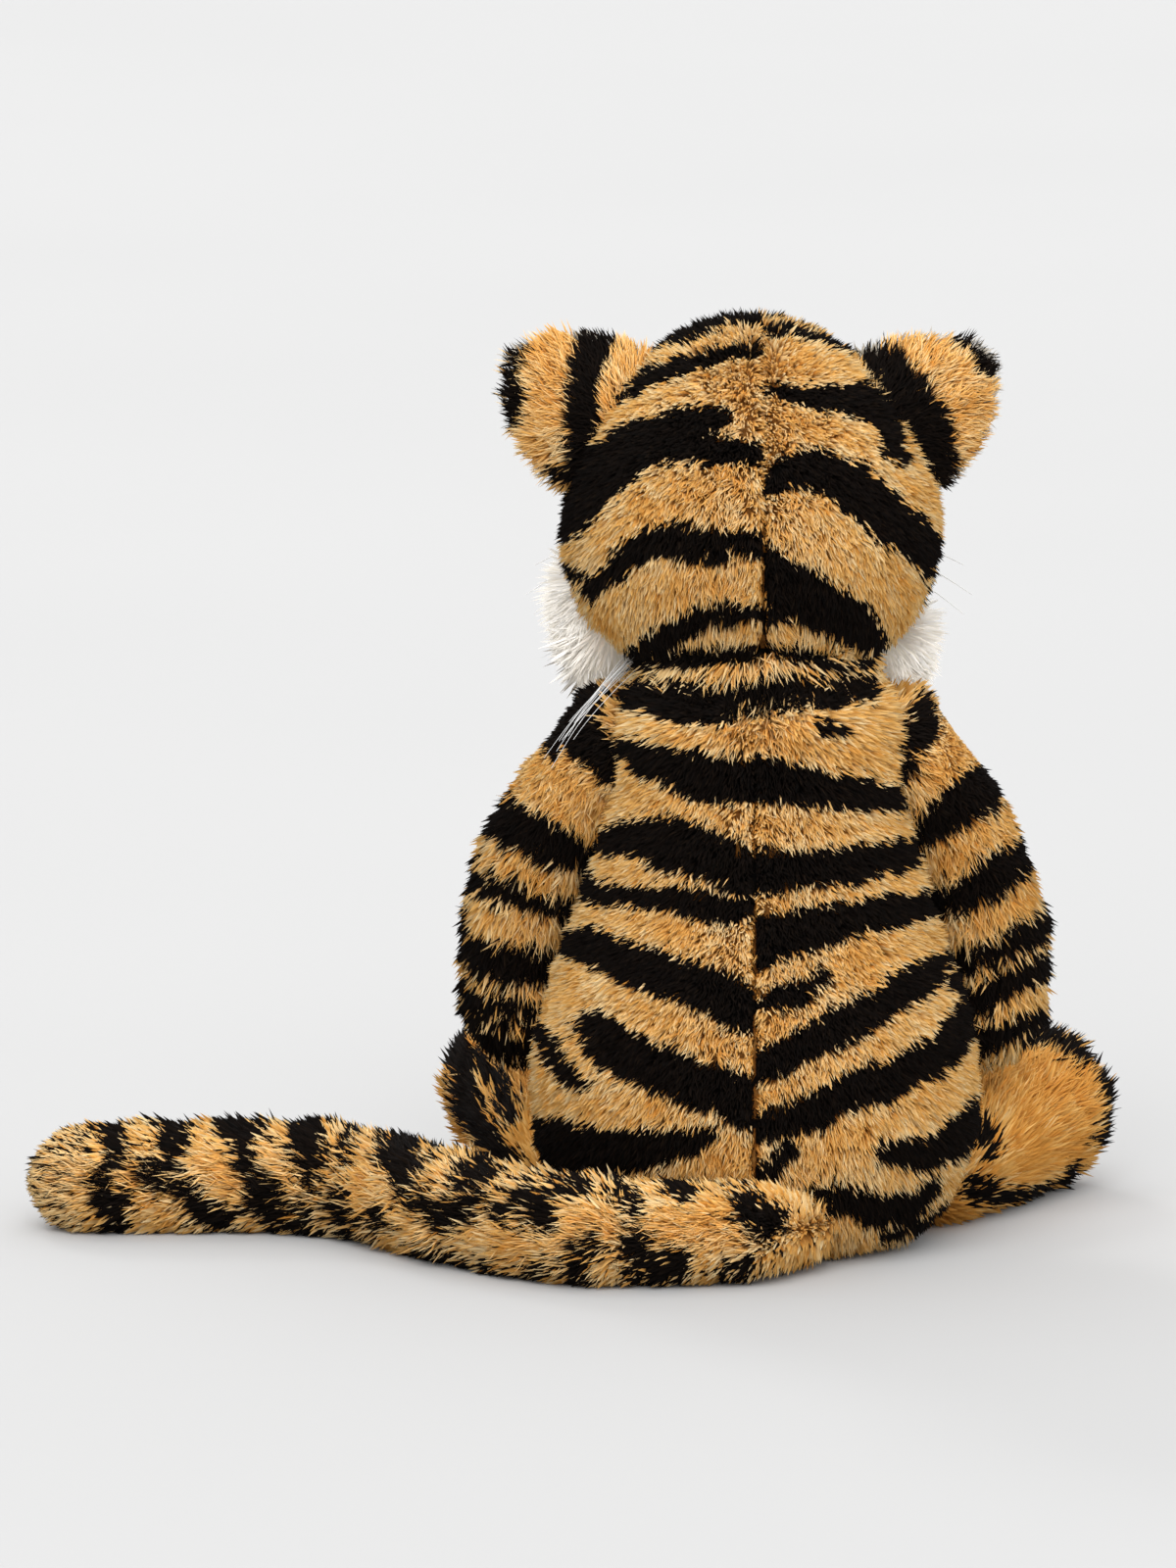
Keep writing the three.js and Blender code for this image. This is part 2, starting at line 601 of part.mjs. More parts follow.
// Ear: a flat cushion with a squarish round outline, split into a furry back and a lining
function buildEar(parent, side) {
  const angle = THREE.MathUtils.degToRad(earAngle);
  const up = [side * Math.sin(angle), 0, Math.cos(angle)];
  const out = [side * Math.cos(angle), 0, -Math.sin(angle)];
  const rootHeight = headHeightOf(earHeightShare);
  const root = [
    headSideOffset + side * halfWidthAt(headCurve, rootHeight),
    headHalfWidth * earBehindShare - headForwardOffset,
    rootHeight,
  ];
  const geometry = new THREE.SphereGeometry(1, ...earFacets);
  const places = geometry.attributes.position;
  for (let i = 0; i < places.count; i += 1) {
    const [x, y, z] = [places.getX(i), places.getY(i), places.getZ(i)];
    const flat = Math.hypot(x, y) || 1;
    const bulge = Math.abs(x / flat) ** earRoundness + Math.abs(y / flat) ** earRoundness;
    const square = bulge ** (-1 / earRoundness);
    const [across, high] = [x * square * earHalfWidth, y * square * earHeight];
    places.setXYZ(
      i,
      root[0] + out[0] * across + up[0] * high,
      root[1] + z * earHalfThickness,
      root[2] + out[2] * across + up[2] * high,
    );
  }
  const name = side > 0 ? "left" : "right";
  const group = bodyGroup(parent, root);
  const head = sweptBy(headForm(-sweepGap), root, out, -earFold, earFold, earSweepSteps);
  const ear = without(solidOf(geometry), head);
  const back = beyond([0, root[1] + fitGap / 2, 0], [0, 1, 0]);
  const front = beyond([0, root[1] - fitGap / 2, 0], [0, -1, 0]);
  addPiece(group, `${name}_ear_back`, ear.intersect(back), furColour);
  addPiece(group, `${name}_ear_lining`, ear.intersect(front), creamColour);
}

// Arm: hangs from the shoulder and curves forward over the thigh
function buildArm(side) {
  const name = side > 0 ? "left" : "right";
  const height = bodyHeight * shoulderHeightShare;
  const forward = bodyHalfWidth * shoulderForwardShare;
  const shoulder = [side * (halfWidthAt(bodyCurve, height) + armRadius * shoulderOutShare), -forward, height];
  const points = armPathShares.map(([out, ahead, down]) => [
    shoulder[0] + side * out * armLength, shoulder[1] - ahead * armLength, shoulder[2] - down * armLength,
  ]);
  const radii = armRadiusShares.map((share) => share * armRadius);
  const form = (inset) => solidOf(limbForm(points, radii, [0, 1, 0], inset, limbAround, armRings));
  const bodySweep = sweptBy(bodyForm(-sweepGap), shoulder, [-1, 0, 0], 0, armSwing, armSweepSteps);
  const cuts = [...bodySweep, ...legs.map((leg) => solidOf(leg.form(-fitGap)))];
  const group = bodyGroup(tiger, shoulder);
  addPiece(group, `${name}_arm_cover`, without(form(0), [form(clothThickness), ...cuts]), furColour);
  const inner = without(form(clothThickness + fitGap), cuts);
  const pawHeight = shoulder[2] - armLength * armPelletShare;
  const pawZone = beyond([0, 0, pawHeight + fitGap / 2], [0, 0, -1]);
  const armZone = beyond([0, 0, pawHeight - fitGap / 2], [0, 0, 1]);
  addPiece(group, `${name}_arm_stuffing`, inner.subtract(pawZone), stuffingColour);
  addPiece(group, `${name}_paw_pellets`, inner.subtract(armZone), pelletColour);
}

// Leg: cover, sole, stuffing and foot pellets, with room to splay beside the body
function buildLeg({ side, hip, toe, way, footRadius, form }) {
  const name = side > 0 ? "left" : "right";
  const bodySweep = sweptBy(bodyForm(-sweepGap), hip, [0, 0, side], -legSplay, legSplay, legSweepSteps);
  const cuts = [...bodySweep, belowFloor];
  const group = bodyGroup(tiger, hip);
  const shell = without(solidOf(form(0)), [solidOf(form(clothThickness)), ...cuts]);
  const along = (distance) => toe.map((value, n) => value + way[n] * distance);
  const soleAt = footRadius * solePlaceShare;
  addPiece(group, `${name}_leg_cover`, shell.subtract(beyond(along(soleAt - fitGap), way)), furColour);
  addPiece(group, `${name}_foot_sole`, shell.intersect(beyond(along(soleAt), way)), creamColour);
  const inner = solidOf(form(clothThickness + fitGap));
  const pelletAt = -footRadius * footPelletShare;
  const reversed = way.map((value) => -value);
  const pelletZone = beyond(along(pelletAt - fitGap), way);
  addPiece(group, `${name}_leg_stuffing`, without(inner, [pelletZone, ...bodySweep]), stuffingColour);
  addPiece(group, `${name}_foot_pellets`, inner.subtract(beyond(along(pelletAt), reversed)), pelletColour);
}

// Tail: four lengths, each a group inside the one before
function buildTail() {
  let parent = tiger;
  tailSwings.forEach((swing, n) => {
    const group = bodyGroup(parent, tailBends[n]);
    const last = n === tailSwings.length - 1;
    const cup = last ? [] : [ballRoom(tailBends[n + 1], tailRadius + fitGap)];
    const cuts = [...cup, belowFloor, solidOf(bodyForm(-fitGap))];
    const start = tailCurve.getTangentAt(tailBendShares[n]);
    const back = new THREE.Vector3(...tailBends[n]).addScaledVector(start, -2 * tailRadius);
    const opening = solidOf(rod(tailBends[n], back.toArray(), turningOpeningRadius));
    const outer = solidOf(tailForm(n, 0));
    const inner = solidOf(tailForm(n, clothThickness));
    addPiece(group, `tail_cover_${n + 1}`, without(outer, [inner, opening, ...cuts]), furColour);
    const filling = solidOf(tailForm(n, clothThickness + fitGap));
    addPiece(group, `tail_stuffing_${n + 1}`, without(filling, cuts), stuffingColour);
    parent = group;
  });
}

buildBody();
const neck = buildNeck();
const head = buildHead(neck);
[1, -1].forEach((side) => buildEar(head, side));
[1, -1].forEach((side) => buildArm(side));
legs.forEach((leg) => buildLeg(leg));
buildTail();

export default tiger;
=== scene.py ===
"""Seated plush tiger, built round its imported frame: stuffed skins, long striped pile, glossy eyes and fine
whiskers. Lengths are in millimetres until a mesh is made, +Z is up, the face looks along -Y and the tail lies
towards +X."""
import math
from types import SimpleNamespace

import bpy
import numpy as np
from bpy.props import FloatProperty, FloatVectorProperty, IntProperty, PointerProperty
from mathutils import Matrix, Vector


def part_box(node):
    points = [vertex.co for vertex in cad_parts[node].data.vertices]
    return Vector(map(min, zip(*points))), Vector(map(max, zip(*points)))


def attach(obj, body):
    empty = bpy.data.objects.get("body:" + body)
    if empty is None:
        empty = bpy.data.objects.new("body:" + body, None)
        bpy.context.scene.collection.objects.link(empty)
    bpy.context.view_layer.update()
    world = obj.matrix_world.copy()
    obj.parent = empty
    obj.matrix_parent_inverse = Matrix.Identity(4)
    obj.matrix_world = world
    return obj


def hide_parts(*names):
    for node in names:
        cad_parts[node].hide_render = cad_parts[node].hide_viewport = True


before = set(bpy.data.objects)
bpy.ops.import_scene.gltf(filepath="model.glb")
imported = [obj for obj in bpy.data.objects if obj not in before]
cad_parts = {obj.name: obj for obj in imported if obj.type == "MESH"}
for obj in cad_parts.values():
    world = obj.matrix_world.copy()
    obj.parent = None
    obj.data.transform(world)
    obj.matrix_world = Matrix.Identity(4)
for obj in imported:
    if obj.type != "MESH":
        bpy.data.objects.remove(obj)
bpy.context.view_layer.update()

bl_info = {
    "name": "Plush tiger",
    "version": (1, 0, 0),
    "blender": (4, 5, 0),
    "location": "View3D > Sidebar > Plush tiger",
    "description": "Builds a seated plush tiger with striped pile round its packed frame",
    "category": "Add Mesh",
}

MM = 0.001
BAKE_MAP = "OFBake"
TONE = "pile_tone"

# The picture that the stripes are drawn in: its middle line, floor line, scale, and the camera's tilt
PICTURE_MIDDLE, PICTURE_FLOOR, PIXELS_PER_MM, PICTURE_TILT = 772, 1269, 4.1, math.radians(9)
PICTURE_SIZE = (1200, 1600)

# Tones along the pile's palette: black fibres, gold fibres and pale ones each have a stretch of it. Gold lies
# between its edges, and cream and white begin at the step
BLACK_TONE, GOLD_TONE, WHITE_TONE = 0.10, 0.50, 0.94
BLACK_RANGE, GOLD_RANGE, WHITE_RANGE, PALE_RANGE = (0.02, 0.18), (0.27, 0.74), (0.82, 0.985), (0.81, 0.985)
GOLD_EDGES, PALE_STEP = (0.3, 0.78), ((0.78, (0, 0, 0)), (0.80, (1, 1, 1)))
# The tail's tip: pale gold, with a share of stray dark fibres
TIP_TONE, TIP_RANGE, STRAY_TONE, STRAY_RANGE, STRAY_SHARE = 0.64, (0.27, 0.75), 0.15, (0.02, 0.19), 0.24
# How much gold varies over the cloth and between fibres, and how much paler it gets within a reach of a band
CLOTH_VARIES, FIBRES_VARY, BESIDE_BAND = 0.12, 0.11, (0.11, 3.2)

# The body: its depth as a share of its width, what its top adds to that, and its profile as shares of its half
# width and height
BODY_DEPTH, BODY_TOP_DEPTH = 0.86, 0.14
BODY_PROFILE = (
    (0, 0), (0.3, 0), (0.55, 0.004), (0.68, 0.02), (0.82, 0.06), (0.93, 0.12), (0.995, 0.205), (1, 0.295),
    (0.975, 0.38), (0.92, 0.46), (0.84, 0.55), (0.765, 0.635), (0.71, 0.72), (0.65, 0.81), (0.59, 0.91),
    (0.535, 0.965), (0.42, 1.0), (0.22, 1.02), (0, 1.03),
)
# The head: its depth as a share of its width, how far it sits aside and forward, and its profile
HEAD_DEPTH, HEAD_ASIDE, HEAD_FORWARD = 0.92, 1.5, 4
HEAD_PROFILE = (
    (0, 0), (0.48, 0.03), (0.69, 0.082), (0.825, 0.15), (0.945, 0.26), (1, 0.395), (0.968, 0.527),
    (0.868, 0.666), (0.7, 0.8), (0.54, 0.89), (0.385, 0.945), (0.15, 0.99), (0, 1),
)
# Where the seams run: face and belly along a line of one y, head and body of one x
FACE_SEAM, BELLY_SEAM, HEAD_SEAM, BODY_SEAM = -18, -14, -1.2, 0.9
# Beside a seam the fibres part from it and get shorter, and gold ones are darkened with painted shade of the
# seam's crease: how much, and over what distance
SEAM_PARTING, SEAM_SHORTER, SEAM_CREASE_SHADE = (0.9, 4.5), (0.6, 1.8), (0.34, 1.0)
# A fibre: shares of its length under and over its bend, depth of its root, its gap from the floor, and how
# much fibres differ in length, in width and in how far they gather to their tuft
FIBRE_SHARES, ROOT_DEPTH, FLOOR_GAP = (0.58, 0.42), 0.5, 0.15
LENGTH_RANGE, WIDTH_RANGE, GATHER_RANGE, TUFT_LENGTHS = (0.74, 1.1), (0.75, 1.25), (0.4, 1.0), 0.08
# How far tufts and fibres stray from their lean for a mess of one, and limits of the lean and of the bend, in
# degrees. A fibre's broad side turns by up to its spin, in radians
TUFT_STAND, FIBRE_STAND, RISE_LIMITS, BEND_LIMITS, FIBRE_SPIN = 16, 20, (4, 84), (8, 96), 0.9
# A fibre's faces by its corners, how far up it each corner is, and how far its sides differ in tone
FIBRE_FACES = np.array([[0, 2, 1], [0, 1, 3], [1, 2, 3], [2, 0, 3]])
FIBRE_PLACES, FIBRE_TONES = (0.01, 0.58, 0.58, 0.99), (0, -0.012, 0.012, 0)
# How much a fibre's own shape turns its shading, and how much chance does
OWN_SHADING, SHADING_SPREAD = 0.35, 0.1
MUZZLE_PLACE, MUZZLE_RADII = (1.5, -39.3, 172.85), (18.5, 16, 12.5)
# Limbs: the places where they start, their paths as shares of their length, their swells as shares of their
# radius, and angles in degrees. Where the sides differ, 1 is the left one and -1 the right one
SHOULDER = (37.923, -5.973, 123.981)
ARM_PATH = ((0, 0, 0), (0.13, 0.08, 0.24), (0.235, 0.17, 0.52), (0.28, 0.24, 0.78), (0.285, 0.26, 1))
ARM_SWELL = (0.96, 1, 1, 1, 0.94)
SHOULDER_HOLD = np.array((-26, 0, 3))
# How much shorter the pile is at the shoulder's outer edge, and the heights where that begins and is full
SHOULDER_TRIMS = {1: (0.28, 96, 116), -1: (0.48, 80, 100)}
HIP = (42.897, -26.151)
LEG_SWELL = (0.88, 0.94, 1)
LEG_ANGLES, TOE_LIFTS, FOOT_LENGTHS = {1: 20, -1: 30}, {1: 8.5, -1: 1.5}, {1: 1.15, -1: 1.4}
# The tail: its root on the floor, the point that holds its first length, where its pile is combed from, its
# path, the shares of its reach where its lengths begin and end, and their pile's length as shares of the body's
TAIL_ROOT, TAIL_HOLD, TAIL_COMBED_FROM = (-9, 46.365), (-12, 33, 12), (-42, 40, 10)
TAIL_PATH = (
    (0, 0), (0.14, 0.035), (0.285, 0.025), (0.39, -0.05), (0.48, -0.15), (0.565, -0.26), (0.65, -0.335),
    (0.76, -0.36), (0.88, -0.36), (1, -0.36),
)
TAIL_BENDS, TAIL_LENGTHS = (0.035, 0.24, 0.46, 0.7, 1), (1.0, 1.2, 1.3, 1.3)
TAIL_ROOT_SWELL = (0.72, 0.9, 1, 1, 1)
# Ears: roots, angle from the upright, how square the outline is, how far the rim curls, the cloth over the rim
# and sides, the root's share of the height, and the normal at which the lining begins
EAR_ROOTS = {1: (38.263, -2.635, 206.52), -1: (-35.263, -2.635, 206.52)}
EAR_ANGLE, EAR_SQUARENESS, EAR_CURL = 54, 1.62, 2.2
EAR_CLOTH, EAR_ROOT_SHARE, EAR_EDGE = (1.6, 1.2), 0.3, -0.25
# Length of the ears' and the cheeks' pile as shares of the body's, and how the cheeks' cloth lies in its node
EAR_LENGTHS = {1: 0.95, -1: 0.8}
RUFF_LENGTHS = {1: 1.85, -1: 1.6}
RUFF_SHIFTS = {1: (-4, 2, -0.5), -1: (6, 3, -8.5)}
RUFF_INSETS = {1: (6, 4, 5), -1: (6, 4, 8.5)}
# How far an eye's dome stands out, and how the face curves back and upwards where the eyes sit
EYE_BULGE, EYE_FACING = 3.6, (1900, 0.0002)
# Painted glow of the cheeks' white pile, an emission that brightens it as if light came through its clear
# fibres: its colour and its strength
RUFF_PAINTED_GLOW_COLOUR, RUFF_PAINTED_GLOW_STRENGTH = (1.0, 0.9, 0.74), 0.14
# Distance over which the seat's threads repeat, in metres
THREAD_PITCH = 0.0011
SIDES = {1: "left", -1: "right"}

# Black bands, drawn on the picture from behind: each is a chain of (across, down, half width) in its pixels
HEAD_BANDS = (
    ((664, 350, 6), (700, 333, 14), (735, 322, 12), (773, 324, 8)),
    ((628, 407, 7), (650, 391, 9), (690, 376, 9), (730, 366, 9), (776, 358, 8), (803, 364, 4)),
    ((577, 542, 14), (588, 517, 24), (606, 487, 27), (640, 463, 25), (680, 449, 24), (715, 437, 16),
     (736, 429, 7)),
    ((690, 457, 15), (730, 468, 14), (760, 470, 13), (778, 466, 12)),
    ((600, 606, 6), (620, 592, 10), (640, 575, 13), (665, 562, 15), (690, 557, 15), (720, 561, 13),
     (776, 563, 12)),
    ((675, 570, 6), (700, 577, 6), (735, 578, 6)),
    ((577, 582, 6), (588, 592, 6), (601, 612, 6)),
    ((648, 668, 6), (670, 660, 10), (700, 645, 12), (730, 636, 10), (776, 632, 8)),
    ((640, 679, 7), (680, 677, 9), (720, 679, 10), (776, 672, 9)),
    ((650, 672, 9), (690, 660, 6)),
    ((781, 318, 2), (812, 320, 3), (850, 334, 4)),
    ((783, 341, 5), (802, 335, 6), (830, 343, 5), (850, 350, 6), (878, 357, 5)),
    ((785, 404, 6), (815, 410, 9), (850, 414, 13), (882, 410, 19), (902, 426, 19), (914, 458, 9)),
    ((782, 505, 10), (803, 488, 17), (840, 487, 20), (866, 499, 22), (886, 520, 24), (915, 541, 24),
     (940, 561, 22), (948, 586, 9)),
    ((905, 466, 7), (927, 472, 5)),
    ((957, 553, 5), (960, 570, 5), (957, 602, 5), (950, 612, 4)),
    ((783, 580, 14), (800, 602, 24), (830, 624, 27), (865, 642, 24), (892, 660, 13)),
    ((783, 640, 9), (800, 628, 16)),
    ((782, 668, 5), (820, 675, 6), (860, 686, 6), (886, 684, 8)),
)
EAR_BANDS = (
    ((611, 336, 15), (592, 378, 14), (588, 440, 14), (591, 492, 15)),
    ((519, 346, 10), (514, 372, 8), (517, 400, 9), (514, 432, 7)),
    ((560, 486, 7), (580, 492, 7)),
    ((884, 346, 12), (906, 374, 19), (927, 402, 23), (945, 432, 24), (958, 462, 20), (970, 490, 9)),
    ((984, 338, 9), (1004, 350, 9), (1018, 376, 8)),
)
BODY_BANDS = (
    ((636, 711, 11), (680, 718, 16), (720, 726, 15), (766, 716, 12)),
    ((769, 716, 13), (800, 713, 12), (840, 711, 10), (884, 706, 9)),
    ((842, 746, 4), (862, 751, 4)),
    ((628, 763, 8), (655, 777, 13), (700, 793, 19), (735, 800, 20), (766, 800, 18)),
    ((769, 797, 20), (820, 807, 19), (860, 812, 14), (915, 816, 11)),
    ((603, 860, 9), (640, 857, 17), (680, 863, 25), (720, 876, 22), (766, 896, 20)),
    ((588, 893, 6), (600, 911, 8), (640, 915, 8), (700, 923, 12), (740, 931, 13), (762, 925, 9)),
    ((769, 890, 21), (820, 890, 16), (870, 884, 16), (928, 872, 13)),
    ((562, 958, 11), (600, 968, 15), (640, 984, 19), (690, 1001, 19), (735, 1018, 23), (767, 1034, 20)),
    ((769, 962, 26), (820, 950, 20), (870, 941, 15), (912, 930, 14), (950, 925, 11)),
    ((784, 1021, 9), (815, 1014, 9), (840, 998, 4)),
    ((547, 1050, 4), (560, 1076, 9), (575, 1096, 8), (588, 1109, 5)),
    ((602, 1050, 15), (628, 1074, 22), (670, 1092, 22), (720, 1110, 23), (768, 1128, 26)),
    ((538, 1168, 24), (590, 1175, 23), (650, 1175, 19), (700, 1166, 12), (722, 1158, 6)),
    ((776, 1088, 15), (820, 1066, 15), (870, 1042, 16), (920, 1013, 15), (958, 986, 10), (972, 978, 5)),
    ((979, 1000, 9), (995, 1022, 8)),
    ((776, 1152, 12), (820, 1138, 17), (870, 1114, 18), (920, 1096, 17), (960, 1076, 17), (986, 1046, 14),
     (992, 1026, 8)),
    ((903, 1177, 8), (940, 1180, 15), (975, 1166, 18), (1004, 1138, 14)),
    ((803, 1236, 14), (850, 1225, 13), (890, 1237, 15), (930, 1235, 13), (952, 1214, 7)),
    ((750, 1200, 6), (790, 1192, 9), (806, 1172, 6)),
    ((905, 1263, 6), (940, 1256, 6), (968, 1238, 5)),
    ((776, 1236, 8), (790, 1256, 9)),
)
LEFT_ARM_BANDS = (
    ((606, 712, 10), (592, 728, 16), (576, 750, 16), (566, 760, 9)),
    ((590, 750, 20), (612, 767, 18), (625, 788, 9)),
    ((498, 824, 14), (520, 838, 21), (555, 856, 19), (594, 873, 13)),
    ((480, 886, 8), (500, 904, 9), (535, 916, 9), (576, 926, 7)),
    ((470, 915, 5), (474, 950, 6)),
    ((484, 968, 12), (520, 985, 19), (556, 988, 15)),
    ((462, 998, 8), (490, 1020, 7), (548, 1034, 5)),
    ((470, 1030, 4), (500, 1040, 4), (548, 1048, 4)),
    ((478, 1052, 8), (510, 1063, 9), (548, 1068, 7)),
    ((495, 1080, 4), (548, 1088, 5)),
)
RIGHT_ARM_BANDS = (
    ((896, 757, 9), (922, 764, 11), (943, 742, 14), (940, 722, 9)),
    ((900, 790, 8), (925, 786, 8)),
    ((920, 862, 9), (960, 836, 17), (1000, 806, 23), (1014, 790, 13)),
    ((944, 925, 14), (990, 911, 17), (1030, 882, 18), (1050, 864, 12)),
    ((966, 985, 9), (1020, 970, 10), (1060, 944, 12), (1072, 928, 8)),
    ((984, 1032, 14), (1010, 1012, 12), (1050, 990, 12), (1082, 976, 6)),
    ((1004, 1062, 13), (1040, 1048, 10), (1080, 1034, 7)),
)
LEFT_FOOT_BANDS = (
    ((462, 1058, 12), (470, 1092, 14), (476, 1130, 13), (502, 1170, 11), (530, 1196, 8)),
    ((494, 1096, 9), (512, 1116, 8), (524, 1150, 7)),
    ((500, 1064, 6), (520, 1080, 5)),
)
RIGHT_FOOT_BANDS = (
    ((1000, 1062, 13), (1040, 1066, 12), (1082, 1066, 9), (1118, 1090, 8)),
    ((1006, 1160, 8), (1010, 1184, 6)),
    ((1136, 1106, 5), (1142, 1140, 4), (1130, 1172, 5)),
    ((990, 1216, 6), (1030, 1228, 4), (1080, 1222, 5), (1106, 1200, 4)),
)
TAIL_BANDS = (
    ((72, 1150, 11), (82, 1172, 7)),
    ((119, 1148, 13), (121, 1180, 11), (112, 1193, 6)),
    ((181, 1148, 13), (181, 1182, 13), (178, 1196, 8)),
    ((238, 1158, 12), (256, 1166, 15), (250, 1192, 9)),
    ((318, 1152, 19), (318, 1188, 14), (326, 1206, 9)),
    ((366, 1156, 7), (356, 1188, 5)),
    ((398, 1152, 9), (414, 1178, 17), (421, 1200, 13), (426, 1216, 6)),
    ((446, 1170, 12), (472, 1172, 9)),
    ((52, 1172, 7), (38, 1186, 4)),
    ((50, 1228, 6), (58, 1250, 7)),
    ((106, 1208, 11), (112, 1226, 14), (118, 1246, 10)),
    ((152, 1204, 9), (186, 1212, 11), (206, 1236, 10), (238, 1242, 7)),
    ((260, 1198, 9), (274, 1222, 16), (292, 1246, 9)),
    ((314, 1242, 11), (332, 1262, 6)),
    ((350, 1228, 8), (362, 1256, 8), (386, 1278, 5)),
    ((386, 1240, 6), (398, 1248, 5)),
    ((430, 1230, 6), (472, 1234, 12), (490, 1222, 8)),
    ((438, 1276, 9), (462, 1282, 10), (490, 1292, 7)),
    ((478, 1208, 9), (502, 1198, 12)),
    ((520, 1234, 10), (548, 1222, 13), (566, 1240, 12)),
    ((576, 1214, 9), (600, 1204, 9)),
    ((500, 1294, 7), (540, 1300, 7), (562, 1284, 6)),
    ((636, 1212, 9), (650, 1230, 10)),
    ((652, 1264, 14), (660, 1284, 14), (692, 1280, 12)),
    ((690, 1204, 8), (706, 1216, 6)),
    ((760, 1222, 9), (772, 1248, 12), (786, 1240, 9)),
    ((738, 1292, 6), (762, 1282, 6)),
    ((600, 1264, 9), (592, 1292, 8)),
)
# Guessed markings of the unseen face, in millimetres aside of its middle and above the floor, for one side
FACE_BANDS = (
    ((0, 218, 2.4), (7, 219, 2), (13, 221.5, 0.8)),
    ((0, 211, 2.2), (6, 212, 1.8), (10, 214, 0.7)),
    ((0, 204.5, 1.8), (4, 205, 1.2)),
    ((19, 222, 1.2), (27, 217, 2.8), (34, 208, 3)),
    ((26, 209, 0.8), (34, 202, 2.4), (42, 193, 3)),
    ((29, 192, 0.8), (38, 188, 2.4), (46, 182, 3)),
    ((30, 181, 0.8), (38, 177, 2.2), (46, 171, 2.6)),
)
FACE_PATCHES = (
    ((7, 204, 1), (14, 205, 4), (21, 203, 5), (26, 198, 3)),
    ((18, 184, 2), (26, 176, 7), (34, 166, 9)),
    ((0, 158, 12), (14, 156, 12), (28, 158, 9)),
)
# Bands look narrower by this, in millimetres, once gold fibres fall over their edges
BAND_SPREAD, HEAD_SPREAD = 0.9, 0.3
BELLY_PATCH = (((0, 30, 17), (0, 60, 24), (0, 95, 20), (0, 128, 14)),)
# Depth that stands for being far outside every band
OUTSIDE = -50
ARM_BANDS = {1: LEFT_ARM_BANDS, -1: RIGHT_ARM_BANDS}
FOOT_BANDS = {1: LEFT_FOOT_BANDS, -1: RIGHT_FOOT_BANDS}
# Rise, reach and droop of each whisker, as shares of the longest
WHISKER_FAN = (
    (-0.34, 0.82, 0.20), (-0.22, 0.95, 0.22), (-0.12, 1, 0.2), (-0.02, 0.94, 0.16), (0.06, 0.8, 0.12),
)
WHISKER_KNOT, WHISKER_OUT, WHISKER_BACK = (0.86, 0.05, 0.6), 0.86, (0.1, 0.11)
WHISKER_RADIUS, WHISKER_TAPER = 0.34, 0.72
# The mouth's fork and one side of it, as shares of the muzzle's width and height
MOUTH_FORK, MOUTH_CURVE, STITCH_RADIUS = (0, -0.34), ((0.17, -0.62), (0.42, -0.5)), 0.6
# Points of the long cheek hairs that fall over the left shoulder, and the spread of their tips
WISP_PATH = ((28, -10, 151), (33, 6, 146.5), (38.5, 13, 141), (44.5, 16, 133.5), (50.5, 17, 124))
WISP_COUNT, WISP_SPREADS, WISP_RADII = 13, (2.3, 2.8), (0.13, 0.05)
CAMERA_DISTANCE, SKY_STRENGTH, FLOOR_REACH = 3.0, 0.82, 40
# Name, where the light comes from, strength and spread in degrees
LIGHTS = (
    ("key light", (0.2, 1.0, 0.92), 2.2, 50), ("low light", (-0.25, 1.0, 0.12), 0.9, 70),
    ("fill light", (-0.9, 0.5, 0.8), 0.8, 90), ("front light", (0.1, -1.0, 0.9), 1.1, 90),
    ("catch light", (0.4, -1.0, 0.75), 0.5, 12),
)


# Curves and surfaces
def smooth_line(points, count):
    """A smooth line through the points, evenly walked: a Catmull-Rom cubic between neighbours, whose slope at
    each point is half the step from the point before to the point after, read at equal lengths along it."""
    points = np.asarray(points, float)
    places = np.linspace(0, len(points) - 1, 24 * len(points))
    start = np.minimum(places.astype(int), len(points) - 2)
    t = (places - start)[:, None]
    before, a, b, after = (points[np.clip(start + shift, 0, len(points) - 1)] for shift in (-1, 0, 1, 2))
    slope_a, slope_b = (b - before) / 2, (after - a) / 2
    cubic, square = 2 * a - 2 * b + slope_a + slope_b, 3 * b - 3 * a - 2 * slope_a - slope_b
    line = cubic * t**3 + square * t**2 + slope_a * t + a
    walked = np.concatenate([[0], np.cumsum(np.linalg.norm(np.diff(line, axis=0), axis=1))])
    even = np.linspace(0, walked[-1], count)
    return np.stack([np.interp(even, walked, line[:, axis]) for axis in range(points.shape[1])], 1)


def unit(vectors):
    """Each vector over its length."""
    return vectors / np.maximum(np.linalg.norm(vectors, axis=-1, keepdims=True), 1e-9)


def waves(places, sizes, seed):
    """Soft noise from -1 to 1: the mean of sines along seeded random directions, at each wavelength."""
    draw = np.random.default_rng(seed)
    total = np.zeros(places.shape[:-1])
    for size in sizes:
        ways = unit(draw.normal(size=(4, 3)))
        phases = draw.uniform(0, 2 * np.pi, 4)
        total += np.sin(places @ ways.T * (2 * np.pi / size) + phases).sum(-1) / 2.4
    return total / len(sizes)


def outward(grid):
    """The grid with its columns in the order that makes its normals point outwards."""
    a, b = grid[:-1], grid[1:]
    right_a, right_b = np.roll(a, -1, 1), np.roll(b, -1, 1)
    pairs = ((right_a, right_b), (right_b, b))
    volume = sum(np.einsum("ijk,ijk", a, np.cross(first, second)) for first, second in pairs)
    return grid if volume > 0 else grid[:, ::-1]


def grid_normals(grid):
    """Normal at each place of a closed grid: the step to the next column crossed with that to the next
    row."""
    across = np.roll(grid, -1, 1) - np.roll(grid, 1, 1)
    along = np.gradient(grid, axis=0)
    normals = np.cross(across, along)
    normals[0], normals[-1] = normals[1].mean(0), normals[-2].mean(0)
    return unit(normals)


